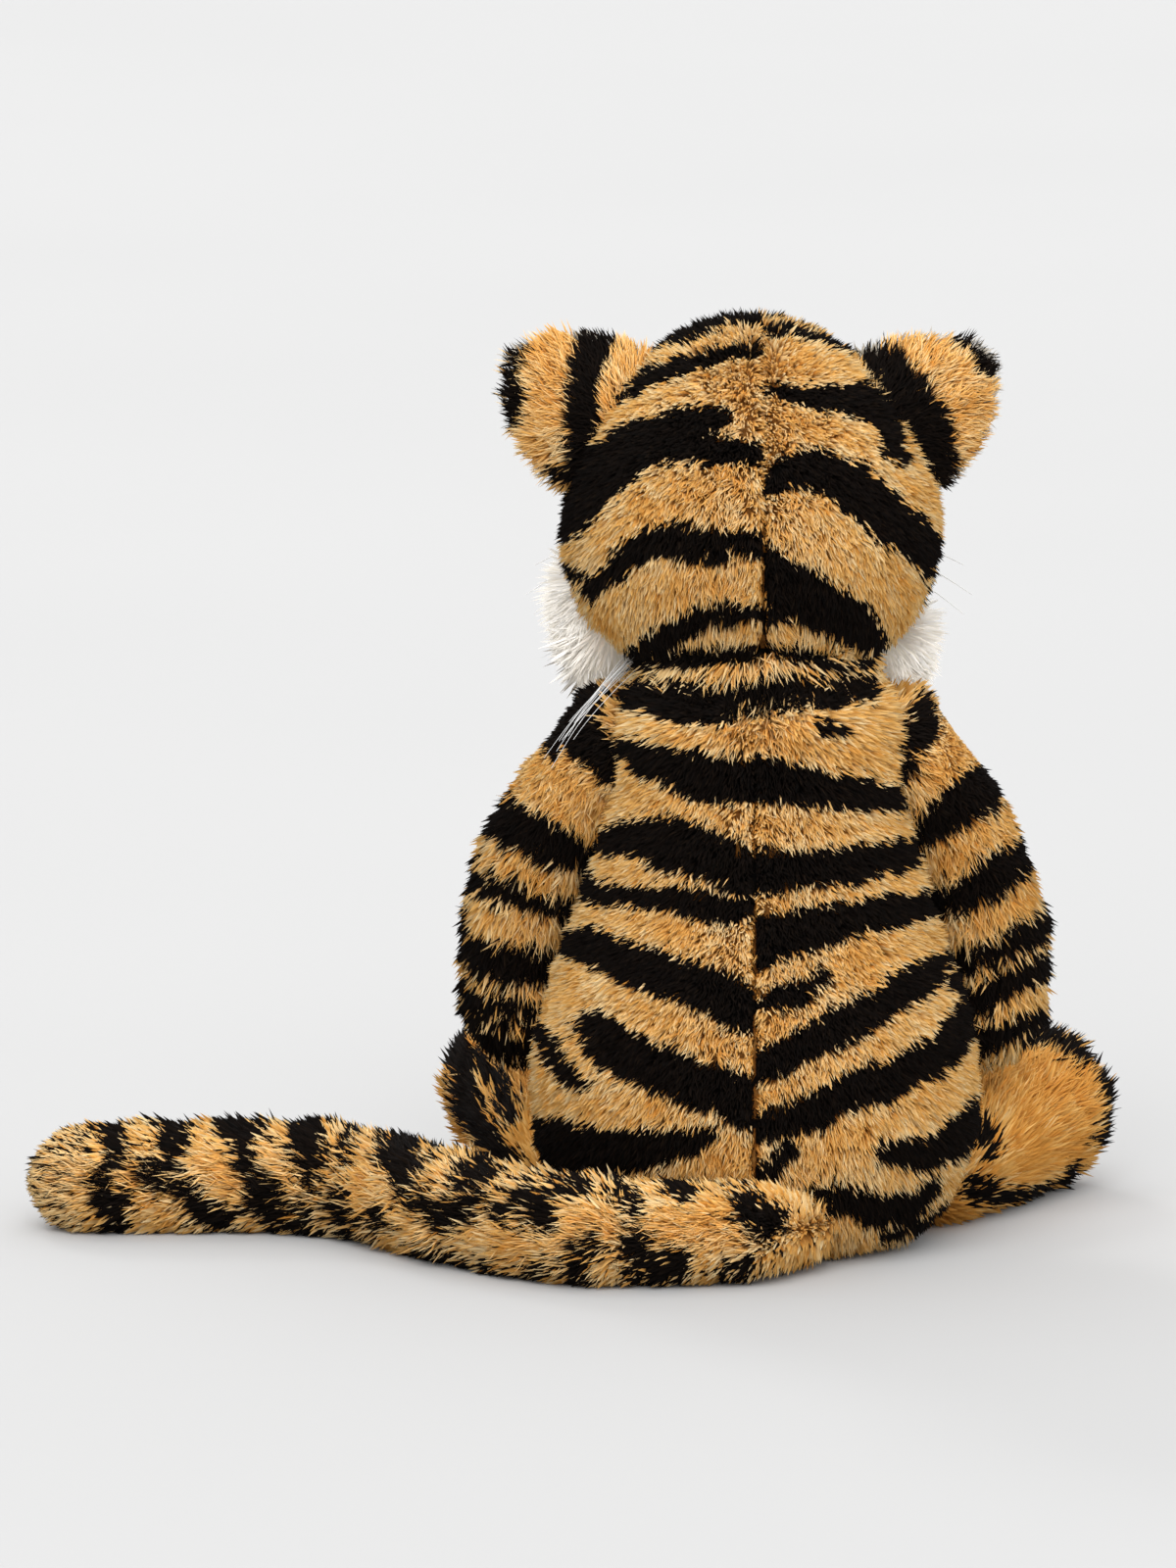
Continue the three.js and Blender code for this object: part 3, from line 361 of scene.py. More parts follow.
def lathe(profile, half_width, height, base, depth_of, inset, rows=84, columns=144):
    """Stuffed form turned from a profile: at angle u the point (w cos u, d w sin u, h), with w and h walked
    along the profile, d the depth share at that height, and every point moved in by the inset along its
    normal."""
    line = smooth_line(profile, rows) * (half_width, height)
    angles = np.linspace(0, 2 * np.pi, columns, endpoint=False)
    wide, high = line[:, :1], line[:, 1:] + base
    grid = np.stack([
        wide * np.cos(angles), wide * depth_of(high) * np.sin(angles), np.broadcast_to(high, (rows, columns)),
    ], -1)
    grid = outward(grid)
    return grid - inset * grid_normals(grid)


def body_depth(high, height):
    """Depth of the body as a share of its width, rounder towards the neck."""
    return BODY_DEPTH + BODY_TOP_DEPTH * (np.clip(high, 0, None) / height) ** 2


def seam_groove(grid, seam, depth=2.2, width=2.2):
    """Depth of the groove that a seam draws down the back: a bell over the distance aside of the seam."""
    return depth * np.exp(-(((grid[..., 0] - seam) / width) ** 2)) * (grid[..., 1] > 0)


def body_grid(form):
    """The pear of the body, flat where it sits."""
    depth_of = lambda high: body_depth(high, form.body_height)
    grid = lathe(BODY_PROFILE, form.body_half_width, form.body_height, -0.5, depth_of, form.skin_inset)
    grid += grid_normals(grid) * (waves(grid, (46, 27), 3) * 0.7 - seam_groove(grid, BODY_SEAM))[..., None]
    grid[..., 2] = np.maximum(grid[..., 2], 0.8 + 0.4 * waves(grid, (18,), 4))
    return grid


def head_grid(form):
    """The head, broad at the cheeks and a little aside of the body's middle."""
    grid = lathe(HEAD_PROFILE, form.head_half_width, form.head_height, form.neck_height,
                 lambda high: HEAD_DEPTH, form.skin_inset)
    grid += (HEAD_ASIDE, -HEAD_FORWARD, 0)
    relief = waves(grid, (40, 24), 5) * 0.6 - seam_groove(grid, HEAD_SEAM, 2.8, 1.9)
    return grid + grid_normals(grid) * relief[..., None]


def tube(path, radii, up=(0, 0, 1), rows=44, columns=40, wander=0.4):
    """Stuffed tube: a circle of the smoothed radius carried along the smoothed path, square to it, with each
    end closed by half a ball."""
    centres = smooth_line(path, rows)
    widths = smooth_line(np.stack([np.arange(len(radii)), radii], 1), rows)[:, 1]
    ways = unit(np.gradient(centres, axis=0))
    caps = np.linspace(0, np.pi / 2, 9)[:-1]
    shift = np.concatenate([-np.cos(caps), np.zeros(rows), np.cos(caps[::-1])])
    swell = np.concatenate([np.sin(caps), np.ones(rows), np.sin(caps[::-1])])
    pick = np.concatenate([np.zeros(len(caps), int), np.arange(rows), np.full(len(caps), rows - 1)])
    side = unit(np.cross(up, ways))
    lift = np.cross(ways, side)
    angles = np.linspace(0, 2 * np.pi, columns, endpoint=False)
    ring = np.cos(angles)[:, None] * lift[pick, None] + np.sin(angles)[:, None] * side[pick, None]
    middle = centres[pick] + ways[pick] * (shift * widths[pick])[:, None]
    grid = outward(middle[:, None] + ring * (swell * widths[pick])[:, None, None])
    return grid + grid_normals(grid) * (waves(grid, (30, 19), 6) * wander)[..., None]


def round_angles(rows, columns):
    """Latitude and longitude at each place of a grid that goes round a ball."""
    latitudes = np.linspace(-np.pi / 2, np.pi / 2, rows)
    longitudes = np.linspace(0, 2 * np.pi, columns, endpoint=False)
    return np.meshgrid(latitudes, longitudes, indexing="ij")


def ball(centre, radii, rows=28, columns=40):
    """Egg: the unit ball at latitude v and longitude u, times the three radii, at its centre."""
    v, u = round_angles(rows, columns)
    return outward(np.stack([np.cos(v) * np.cos(u), np.cos(v) * np.sin(u), np.sin(v)], -1) * radii + centre)


def arm_path(form, side):
    """Points of an arm's middle line, from the shoulder to the paw."""
    steps = np.array(ARM_PATH) * form.arm_length
    return np.array((side * SHOULDER[0], *SHOULDER[1:])) + steps * (side, -1, -1)


def leg_path(form, side):
    """Points of a leg's middle line from hip to toes, with its underside on the floor and the toes lifted."""
    share = np.linspace(0, 1, len(LEG_SWELL))
    angle = math.radians(LEG_ANGLES[side])
    radii = np.array(LEG_SWELL) * (form.left_foot_radius if side > 0 else form.right_foot_radius)
    along = form.leg_length * share
    path = np.stack([
        side * (HIP[0] + math.sin(angle) * along), HIP[1] - math.cos(angle) * along,
        radii - 0.5 + TOE_LIFTS[side] * share**2,
    ], 1)
    return path, radii


def tail_path(form, start, end):
    """Points of the tail's middle line between two shares of its length."""
    flat = np.array(TAIL_PATH) * form.tail_length + TAIL_ROOT
    line = smooth_line(np.column_stack([flat, np.full(len(flat), form.tail_radius - 0.5)]), 401)
    return line[np.linspace(400 * start, 400 * end, 9).round().astype(int)]


def ear_axes(side):
    """Up and outward directions of an ear."""
    angle = math.radians(EAR_ANGLE)
    up = np.array([side * math.sin(angle), 0, math.cos(angle)])
    out = np.array([side * math.cos(angle), 0, -math.sin(angle)])
    return up, out


def ear_grid(form, side, rows=30, columns=64):
    """Ear cushion: a flat ball whose outline is a rounded square, thicker in the middle, with a short root in
    the head and its rim curled a little forward."""
    v, u = round_angles(rows, columns)
    power, (rim_cloth, side_cloth) = EAR_SQUARENESS, EAR_CLOTH
    square = (np.abs(np.cos(u)) ** power + np.abs(np.sin(u)) ** power) ** (-1 / power)
    across = np.cos(v) * np.cos(u) * square * (form.ear_half_width - rim_cloth)
    high = np.cos(v) * np.sin(u) * square * (form.ear_height - rim_cloth)
    high = np.where(high < 0, high * EAR_ROOT_SHARE, high)
    thick = np.sin(v) * (form.ear_half_thickness - side_cloth)
    curl = -EAR_CURL * ((across / form.ear_half_width) ** 2 + np.clip(high / form.ear_height, 0, 1) ** 2)
    up, out = ear_axes(side)
    grid = EAR_ROOTS[side] + across[..., None] * out + high[..., None] * up
    return outward(grid + (thick + curl)[..., None] * np.array([0, 1, 0]))


# Where the stripes lie
def on_picture(places):
    """Where places are seen in the picture from behind: across by -x, and down from the floor line by
    z cos t - y sin t, with t the camera's tilt."""
    high = places[..., 2] * math.cos(PICTURE_TILT) - places[..., 1] * math.sin(PICTURE_TILT)
    across = PICTURE_MIDDLE - PIXELS_PER_MM * places[..., 0]
    return np.stack([across, PICTURE_FLOOR - PIXELS_PER_MM * high], -1)


def inside_bands(points, bands):
    """How far each point lies inside the nearest band, below 0 outside: the half width along the chain, less
    the distance to it."""
    best = np.full(points.shape[:-1], -1e3)
    for band in bands:
        chain = np.asarray(band, float)
        for a, b in zip(chain[:-1], chain[1:]):
            step = b[:2] - a[:2]
            t = np.clip(((points - a[:2]) @ step) / (step @ step), 0, 1)
            gap = np.linalg.norm(points - (a[:2] + t[..., None] * step), axis=-1)
            best = np.maximum(best, a[2] + t * (b[2] - a[2]) - gap)
    return best


# Meshes
def closed_faces(grid):
    """Vertices, corners, face sizes and own map of a grid: its rows are rings, and the first and last ring
    shrink to one point each. The map has the column across and the row up."""
    rows, columns = grid.shape[:2]
    rings = grid[1:-1].reshape(-1, 3)
    places = np.concatenate([rings, grid[:1].mean(1), grid[-1:].mean(1)])
    low, high, last = len(rings), len(rings) + 1, rows - 3
    k = np.arange(columns)
    after = (k + 1) % columns
    r = np.arange(last)[:, None] * columns
    quads = np.stack([r + k, r + after, r + after + columns, r + k + columns], -1)
    under = np.stack([np.full(columns, low), after, k], -1)
    over = np.stack([last * columns + k, last * columns + after, np.full(columns, high)], -1)
    u0, u1 = k / columns, (k + 1) / columns
    v = (np.arange(rows) / (rows - 1))[:, None]
    v0, v1 = v[1:-2] + 0 * u0, v[2:-1] + 0 * u0
    wide0, wide1 = u0 + 0 * v0, u1 + 0 * v0
    quad_map = np.stack([np.stack([wide0, wide1, wide1, wide0], -1), np.stack([v0, v0, v1, v1], -1)], -1)
    first, top = v[1, 0], v[-2, 0]
    middle = (u0 + u1) / 2
    low_rows, high_rows = (np.broadcast_to(row, (columns, 3)) for row in ([0, first, first], [top, top, 1]))
    under_map = np.stack([np.stack([middle, u1, u0], -1), low_rows], -1)
    over_map = np.stack([np.stack([u0, u1, middle], -1), high_rows], -1)
    corners = np.concatenate([quads.ravel(), under.ravel(), over.ravel()])
    flat = np.concatenate([quad_map.reshape(-1, 2), under_map.reshape(-1, 2), over_map.reshape(-1, 2)])
    return places, corners, np.repeat([4, 3], [last * columns, 2 * columns]), flat


def closed_mesh(name, *grids, tones=None):
    """One smooth mesh of closed grids. Tones, if given, are those of a single grid's places."""
    parts = [closed_faces(grid) for grid in grids]
    starts = np.cumsum([0] + [len(part[0]) for part in parts[:-1]])
    mesh = bpy.data.meshes.new(name)
    corners = np.concatenate([part[1] + start for part, start in zip(parts, starts)]).astype(np.int32)
    sizes_of = np.concatenate([part[2] for part in parts]).astype(np.int32)
    fill_mesh(mesh, np.concatenate([part[0] for part in parts]) * MM, corners, sizes_of)
    add_map(mesh, np.concatenate([part[3] for part in parts]))
    if tones is not None:
        values = np.concatenate([tones[1:-1].ravel(), tones[:1].mean(1), tones[-1:].mean(1)])
        mesh.attributes.new(TONE, "FLOAT", "POINT").data.foreach_set("value", values.astype(np.float32))
    mesh.polygons.foreach_set("use_smooth", np.ones(len(sizes_of), bool))
    return placed(name, mesh)


def fill_mesh(mesh, places, corners, sizes):
    """Puts vertices, and faces of the given sizes, into a new mesh."""
    mesh.vertices.add(len(places))
    mesh.vertices.foreach_set("co", places.astype(np.float32).ravel())
    mesh.loops.add(len(corners))
    mesh.loops.foreach_set("vertex_index", corners)
    mesh.polygons.add(len(sizes))
    mesh.polygons.foreach_set("loop_start", np.concatenate([[0], np.cumsum(sizes)[:-1]]).astype(np.int32))
    mesh.update(calc_edges=True)


def add_map(mesh, flat):
    """Gives a mesh its own map, one place for each corner."""
    layer = mesh.uv_layers.new(name=BAKE_MAP)
    layer.uv.foreach_set("vector", flat.astype(np.float32).ravel())


def placed(name, data):
    """An object for a mesh, a light or a camera, at the origin."""
    made = bpy.data.objects.new(name, data)
    bpy.context.scene.collection.objects.link(made)
    return made


def scattered(grid, thick, draw):
    """Roots drawn evenly over a grid's area, at the density asked for times the thickness, and their
    normals."""
    p, n = (np.concatenate([q, q[:, :1]], 1) for q in (grid, grid_normals(grid)))
    area = np.linalg.norm(np.cross(p[:-1, 1:] - p[:-1, :-1], p[1:, :-1] - p[:-1, :-1]), axis=-1)
    total = np.cumsum(area.ravel())
    count = int(total[-1] * bpy.context.scene.tiger_pile.density * thick)
    picked = np.searchsorted(total, draw.uniform(0, total[-1], count))
    row, column = np.divmod(picked, area.shape[1])
    s, t = draw.random((2, count, 1))

    def mixed(q):
        low = q[row, column] * (1 - s) + q[row, column + 1] * s
        high = q[row + 1, column] * (1 - s) + q[row + 1, column + 1] * s
        return low * (1 - t) + high * t
    return mixed(p), unit(mixed(n))


def turned(start, end, angle):
    """Directions turned from one towards another that is square to it: the first times the angle's cosine,
    plus the second times its sine."""
    return start * np.cos(angle)[:, None] + end * np.sin(angle)[:, None]


def fibres(root, normal, look, draw):
    """Corners of each fibre, a slim bent diamond: its root, two corners at its widest, and its tip. It rises
    by its lean from the surface and bends over towards the nap, and tips gather to the middle of their
    tuft."""
    count = len(root)
    nap, length, lean = look.lie(root, normal)
    heart, tuft = tufts_of(root, look.tuft)
    tufts = tuft.max() + 1
    strays = lambda by_tuft, by_fibre: draw.normal(0, by_tuft, tufts)[tuft] + draw.normal(0, by_fibre, count)
    length = length * draw.uniform(*LENGTH_RANGE, count) * (1 + TUFT_LENGTHS * draw.normal(size=tufts))[tuft]
    swing = strays(look.mess, look.mess)
    stand = lean + strays(TUFT_STAND * look.mess, FIBRE_STAND * look.mess)
    nap = unit(nap - normal * np.sum(nap * normal, -1, keepdims=True))
    cross = np.cross(normal, nap)
    nap = turned(nap, cross, swing)
    low = turned(normal, nap, np.radians(np.clip(stand, *RISE_LIMITS)))
    high = turned(normal, nap, np.radians(np.clip(stand + look.bend, *BEND_LIMITS)))
    middle = root + low * length[:, None] * FIBRE_SHARES[0]
    tip = middle + high * length[:, None] * FIBRE_SHARES[1]
    tip = tip + (heart[tuft] - root) * look.gather * draw.uniform(*GATHER_RANGE, (count, 1))
    face = unit(np.cross(low, normal + 0.01 * cross))
    wide = turned(face, np.cross(low, face), draw.uniform(-FIBRE_SPIN, FIBRE_SPIN, count))
    half = (look.width / 2) * draw.uniform(*WIDTH_RANGE, (count, 1))
    places = np.stack([root - normal * ROOT_DEPTH, middle + wide * half, middle - wide * half, tip], 1)
    a, b, c = (places[:, k] - places[:, 0] for k in (1, 2, 3))
    inside_out = np.einsum("ij,ij->i", np.cross(a, b), c) < 0
    places[inside_out, 1:3] = places[inside_out, 2:0:-1]
    return places


def above_floor(heights):
    """Heights kept off the floor by a gap g: under 1 mm, g + (1 - g) times e to the power of the height
    less 1."""
    low = FLOOR_GAP + (1 - FLOOR_GAP) * np.exp(np.minimum(heights - 1, 0))
    return np.where(heights < 1, low, heights)


def pile(name, grid, look, seed, keep=None):
    """Long pile on a form, as one mesh of closed fibres. A fibre's tone is read near its tip, where it is
    seen. Its shading follows the form more than its own faces, so that the pile looks soft."""
    draw = np.random.default_rng(seed)
    root, normal = scattered(grid, look.thick, draw)
    if keep is not None:
        kept = keep(root, normal)
        root, normal = root[kept], normal[kept]
    count = len(root)
    places = fibres(root, normal, look, draw)
    tone = look.tone(root + (places[:, 3] - root) * look.seen, normal, draw)
    # Painted shade of the seam's crease: gold fibres beside a seam are darkened
    tone -= look.beside_seam(root, SEAM_CREASE_SHADE) * ((tone > GOLD_EDGES[0]) & (tone < GOLD_EDGES[1]))
    places[..., 2] = above_floor(places[..., 2])
    mesh = bpy.data.meshes.new(name)
    corners = (4 * np.arange(count)[:, None, None] + FIBRE_FACES).astype(np.int32).ravel()
    fill_mesh(mesh, places.reshape(-1, 3) * MM, corners, np.full(4 * count, 3, np.int32))
    flat = np.stack([tone[:, None] + FIBRE_TONES, np.broadcast_to(FIBRE_PLACES, (count, 4))], -1)
    flat[draw.random(count) < look.dipped, 3, 0] = BLACK_TONE
    add_map(mesh, np.clip(flat[:, FIBRE_FACES].reshape(-1, 2), 0.002, 0.998))
    soft = normal[:, None] * look.softness + unit(places - root[:, None] + 1e-6) * OWN_SHADING
    soft = unit(soft + draw.normal(0, SHADING_SPREAD, (count, 4, 3)) + (0, 0, look.glow))
    shading = mesh.attributes.new("custom_normal", "FLOAT_VECTOR", "POINT")
    shading.data.foreach_set("vector", soft.astype(np.float32).ravel())
    mesh.polygons.foreach_set("use_smooth", np.ones(4 * count, bool))
    return placed(name, mesh)


def tufts_of(root, cell):
    """Middle of each tuft, and the tuft of each root: roots share a tuft when, shifted by soft noise, they
    fall in the same cube of the given size."""
    wobble = np.stack([waves(root, (23, 11), 1 + k) for k in range(3)], -1) * cell
    keys = np.floor((root + wobble) / cell).astype(np.int64)
    tuft = np.unique(keys @ np.array([1, 4001, 16008001]), return_inverse=True)[1]
    members = np.bincount(tuft)
    return np.stack([np.bincount(tuft, root[:, k]) / members for k in range(3)], -1), tuft


class Look:
    """How one form's pile lies. nap gives its direction and tone its place in the palette, for roots and
    normals. Lengths are in millimetres, lean and bend in degrees from the upright, and mess in radians.
    gather is how far tips come to the middle of their tuft, and softness how much the shading follows the
    form. thick and fine are shares of the density and width asked for, seen is the share of a fibre at which
    its tone is read, and dipped the share of fibres with a black tip. glow turns the shading upwards, as if
    light came through."""

    bend, gather, softness, mess, seen = 22, 0.18, 0.8, 0.3, 0.9
    thick, fine, glow, dipped, near_seam = 1.0, 1.0, 0.0, 0.0, None

    def __init__(self, nap, tone, length, lean, **others):
        self.nap, self.tone, self.length, self.lean = nap, tone, length, lean
        vars(self).update(others)
        fur = sizes(bpy.context.scene.tiger_pile)
        self.width, self.tuft = fur.width * self.fine, fur.tuft

    def lie(self, root, normal):
        """Direction, length and lean of the fibre at each root. Beside a seam they part from it and are
        shorter."""
        nap = self.nap(root, normal)
        if self.near_seam is not None:
            nap[:, 0] += np.sign(root[:, 0] - self.near_seam) * self.beside_seam(root, SEAM_PARTING)
        at_roots = lambda rule: rule(root) if callable(rule) else np.full(len(root), float(rule))
        return nap, at_roots(self.length) * (1 - self.beside_seam(root, SEAM_SHORTER)), at_roots(self.lean)

    def beside_seam(self, root, effect):
        """Strength of an effect of the seam down the back: a bell over each root's distance aside of it."""
        strength, width = effect
        if self.near_seam is None:
            return np.zeros(len(root))
        return strength * np.exp(-(((root[:, 0] - self.near_seam) / width) ** 2)) * (root[:, 1] > 0)


# Materials
class Value:
    """A number that a material works out. A sum or a product with it adds a Math node."""

    def __init__(self, maker, socket):
        self.maker, self.socket = maker, socket

    def math(self, operation, *terms):
        """What a Math node makes of the terms."""
        node = self.maker.node("ShaderNodeMath", {"operation": operation}, dict(enumerate(terms)))
        return Value(self.maker, node.outputs[0])

    def __add__(self, other):
        return self.math("ADD", self, other)

    def __radd__(self, other):
        return self.math("ADD", other, self)

    def __mul__(self, other):
        return self.math("MULTIPLY", self, other)

    def __rmul__(self, other):
        return self.math("MULTIPLY", other, self)

    def sine(self):
        return self.math("SINE", self)


class Finish:
    """A material in the making: one Principled shader, and nodes added by type, settings and inputs."""

    def __init__(self, name, **constants):
        self.material = bpy.data.materials.new(name)
        self.material.use_nodes = True
        self.tree = self.material.node_tree
        self.tree.nodes.clear()
        inputs = {key.replace("_", " "): value for key, value in constants.items()}
        self.shader = self.node("ShaderNodeBsdfPrincipled", {}, inputs)
        out = self.node("ShaderNodeOutputMaterial", {}, {})
        self.tree.links.new(self.shader.outputs[0], out.inputs["Surface"])

    def node(self, kind, settings, inputs):
        """A node with its settings, whose inputs take numbers, colours or what other nodes give. A ramp's
        stops each have a place and a colour."""
        node = self.tree.nodes.new(kind)
        for key, value in settings.items():
            if key == "stops":
                elements = node.color_ramp.elements
                while len(elements) < len(value):
                    elements.new(1)
                for element, (place, colour) in zip(elements, value):
                    element.position, element.color = place, (*colour, 1)
            else:
                setattr(node, key, value)
        for key, value in inputs.items():
            socket = node.inputs[key]
            value = value.socket if isinstance(value, Value) else value
            if isinstance(value, bpy.types.NodeSocket):
                self.tree.links.new(value, socket)
            else:
                socket.default_value = (*value, 1) if socket.type == "RGBA" and len(value) == 3 else value
        return node

    def feed(self, **sources):
        """Feeds the shader, and gives the material back."""
        for key, source in sources.items():
            source = source.socket if isinstance(source, Value) else source
            self.tree.links.new(source, self.shader.inputs[key.replace("_", " ")])
        return self.material

    def two_of(self, vector):
        """The first two numbers of a vector."""
        parts = self.node("ShaderNodeSeparateXYZ", {}, {0: vector})
        return Value(self, parts.outputs[0]), Value(self, parts.outputs[1])

    def own_map(self):
        """Across and up on the piece's own map."""
        return self.two_of(self.node("ShaderNodeUVMap", {"uv_map": BAKE_MAP}, {}).outputs[0])

    def own_place(self):
        """The object's own coordinates."""
        return self.node("ShaderNodeTexCoord", {}, {}).outputs["Object"]

    def noise(self, scale, detail=3.0):
        """Noise on the object's own coordinates."""
        inputs = {"Vector": self.own_place(), "Scale": scale, "Detail": detail, "Roughness": 0.55}
        return Value(self, self.node("ShaderNodeTexNoise", {}, inputs).outputs[0])

    def ramp(self, value, *stops):
        """The colour at a value, along the stops."""
        return self.node("ShaderNodeValToRGB", {"stops": stops}, {0: value}).outputs[0]

    def mix(self, blend, share, a, b):
        """Two colours, mixed or multiplied by a share."""
        node = self.node("ShaderNodeMix", {"data_type": "RGBA", "blend_type": blend}, {0: share, 6: a, 7: b})
        return node.outputs[2]

    def bump(self, height, strength, distance):
        """Normals that a height bends."""
        node = self.node("ShaderNodeBump", {}, {"Height": height, "Strength": strength, "Distance": distance})
        return node.outputs[0]


def palette(made, props, tone, shade, pale_shade):
    """The pile's palette at a tone: black fibres, then gold ones, then cream and white ones. It is multiplied
    by a painted shade, with another one for cream and white."""
    pale = Value(made, made.ramp(tone, *PALE_STEP))
    colours = made.ramp(
        tone, (0.0, (0.002, 0.002, 0.002)), (0.12, props.black), (0.20, (0.016, 0.010, 0.006)),
        (0.25, props.gold_deep), (0.50, props.gold), (0.76, props.gold_light),
        (0.80, props.cream), (0.98, props.white),
    )
    return made.mix("MULTIPLY", 1.0, colours, made.mix("MIX", pale, shade, pale_shade))


def pile_finish(props, name="tiger pile", **extra):
    """Pile: the palette read across the own map, with painted shade in the depth of the pile, lighter at the
    tips.
    """
    made = Finish(name, Roughness=0.75, Specular_IOR_Level=0.06, **extra)
    across, up = made.own_map()
    # Painted shade: darkest at the roots and none at the tips; the one for cream and white is fainter
    shade = made.ramp(
        up, (0.0, (0.25, 0.16, 0.10)), (0.45, (0.62, 0.47, 0.34)), (0.8, (0.93, 0.87, 0.79)),
        (1.0, (1, 1, 1)),
    )
    pale_shade = made.ramp(up, (0.0, (0.90, 0.88, 0.86)), (0.5, (0.98, 0.97, 0.96)), (1.0, (1, 1, 1)))
    return made.feed(Base_Color=palette(made, props, across, shade, pale_shade))


def ruff_finish(props):
    """Long white pile of the cheeks: as other pile, with a faint even painted glow, an emission that brightens
    it as if light came through its clear fibres."""
    return pile_finish(props, "tiger ruff", Emission_Color=RUFF_PAINTED_GLOW_COLOUR, Emission_Strength=RUFF_PAINTED_GLOW_STRENGTH)


def backing_finish(props):
    """Backing cloth and the foot of the pile: the palette read from the form's tone, darkened by painted shade
    of the pile's depth unless it is pale, with a fine grain."""
    made = Finish("tiger backing", Roughness=0.9, Specular_IOR_Level=0.15)
    tone = Value(made, made.node("ShaderNodeAttribute", {"attribute_name": TONE}, {}).outputs["Fac"])
    weave = made.noise(900, 2)
    # Painted shade of the pile's depth, with a fine grain: strong for black and gold tones, faint for cream and
    # white
    grain = made.ramp(weave, (0.3, (0.22, 0.15, 0.10)), (0.7, (0.45, 0.36, 0.28)))
    pale_grain = made.ramp(weave, (0.3, (0.80, 0.78, 0.75)), (0.7, (0.95, 0.94, 0.92)))
    return made.feed(Base_Color=palette(made, props, tone, grain, pale_grain))


def eye_finish(props):
    """Polished eye: near black with a dim brown depth and faint handling marks."""
    made = Finish("tiger eye", Roughness=0.08, IOR=1.42, Specular_IOR_Level=0.3)
    depth = made.ramp(made.noise(220, 4), (0.35, props.eye), (0.75, (0.030, 0.012, 0.006)))
    return made.feed(Base_Color=depth, Roughness=made.noise(900) * 0.08 + 0.05)


def nose_finish(props):
    """Velour nose: dusky pink with a fine nap."""
    made = Finish("tiger nose", Roughness=0.8, Sheen_Weight=0.4, Sheen_Roughness=0.4)
    fine = made.noise(2600)
    grain = made.ramp(fine, (0.3, (0.55, 0.5, 0.5)), (0.7, (1, 1, 1)))
    dusky = made.mix("MULTIPLY", 0.5, props.nose, grain)
    return made.feed(Base_Color=dusky, Normal=made.bump(fine, 0.5, 0.0004))


def seat_finish(props):
    """Woven cloth: crossed threads, each a sine of the distance along x or y, over and under by turns."""
    made = Finish("seat weave", Roughness=0.85, Specular_IOR_Level=0.2)
    x, y = (along * (2 * math.pi / THREAD_PITCH) for along in made.two_of(made.own_place()))
    weave = x.sine() * y.sine() * 0.5 + 0.5
    grain = made.ramp(weave, (0.2, (0.5, 0.5, 0.5)), (0.8, (1, 1, 1)))
    woven = made.mix("MULTIPLY", 1.0, props.seat, grain)
    return made.feed(Base_Color=woven, Normal=made.bump(weave, 0.6, 0.0003))


def washer_finish(props):
    """Pale moulded plastic with faint flow marks."""
    made = Finish("washer plastic", Roughness=0.4)
    flow = made.ramp(made.noise(180), (0.3, (0.68, 0.68, 0.66)), (0.7, (0.78, 0.78, 0.76)))
    return made.feed(Base_Color=flow)


def thread_finish(props):
    """Embroidery thread: two plies twisted round each other, drawn along the own map."""
    made = Finish("tiger thread", Roughness=0.55, Specular_IOR_Level=0.4)
    across, up = made.own_map()
    twist = ((up * 60 + across * 2) * (2 * math.pi)).sine()
    plies = made.ramp(twist * 0.5 + 0.5, (0.0, (0.004, 0.004, 0.004)), (1.0, (0.045, 0.04, 0.038)))
    return made.feed(Base_Color=plies, Normal=made.bump(twist, 0.6, 0.0002))


def whisker_finish(props):
    """Nylon whisker: clear white, whiter towards the tip."""
    made = Finish("tiger whisker", Roughness=0.25, Specular_IOR_Level=0.6)
    up = made.own_map()[1]
    clear = made.ramp(up, (0.0, (0.30, 0.29, 0.28)), (0.5, (0.6, 0.6, 0.59)), (1.0, (0.85, 0.85, 0.85)))
    return made.feed(Base_Color=clear)


def floor_finish(props):
    """Pale seamless floor with a breath of unevenness."""
    made = Finish("studio floor", Roughness=0.9, Specular_IOR_Level=0.1)
    darker = [0.985 * value for value in props.floor]
    return made.feed(Base_Color=made.ramp(made.noise(1.5, 2), (0.35, darker), (0.65, props.floor)))


FINISHES = {
    "tiger pile": pile_finish, "tiger ruff": ruff_finish, "tiger backing": backing_finish,
    "tiger eye": eye_finish, "tiger nose": nose_finish, "seat weave": seat_finish,
    "washer plastic": washer_finish, "tiger thread": thread_finish, "tiger whisker": whisker_finish,
    "studio floor": floor_finish,
}


def finish_named(name):
    """The material of that name, made on its first use."""
    return bpy.data.materials.get(name) or FINISHES[name](bpy.context.scene.tiger_colours)


# What the user can change
def length(name, description, default):
    """A length property, from its size in millimetres."""
    return FloatProperty(
        name=name, description=description, default=default * MM, subtype="DISTANCE", unit="LENGTH",
    )


def colour(name, description, default):
    """A colour property."""
    return FloatVectorProperty(
        name=name, description=description, default=default, subtype="COLOR", size=3, min=0, max=1,
    )


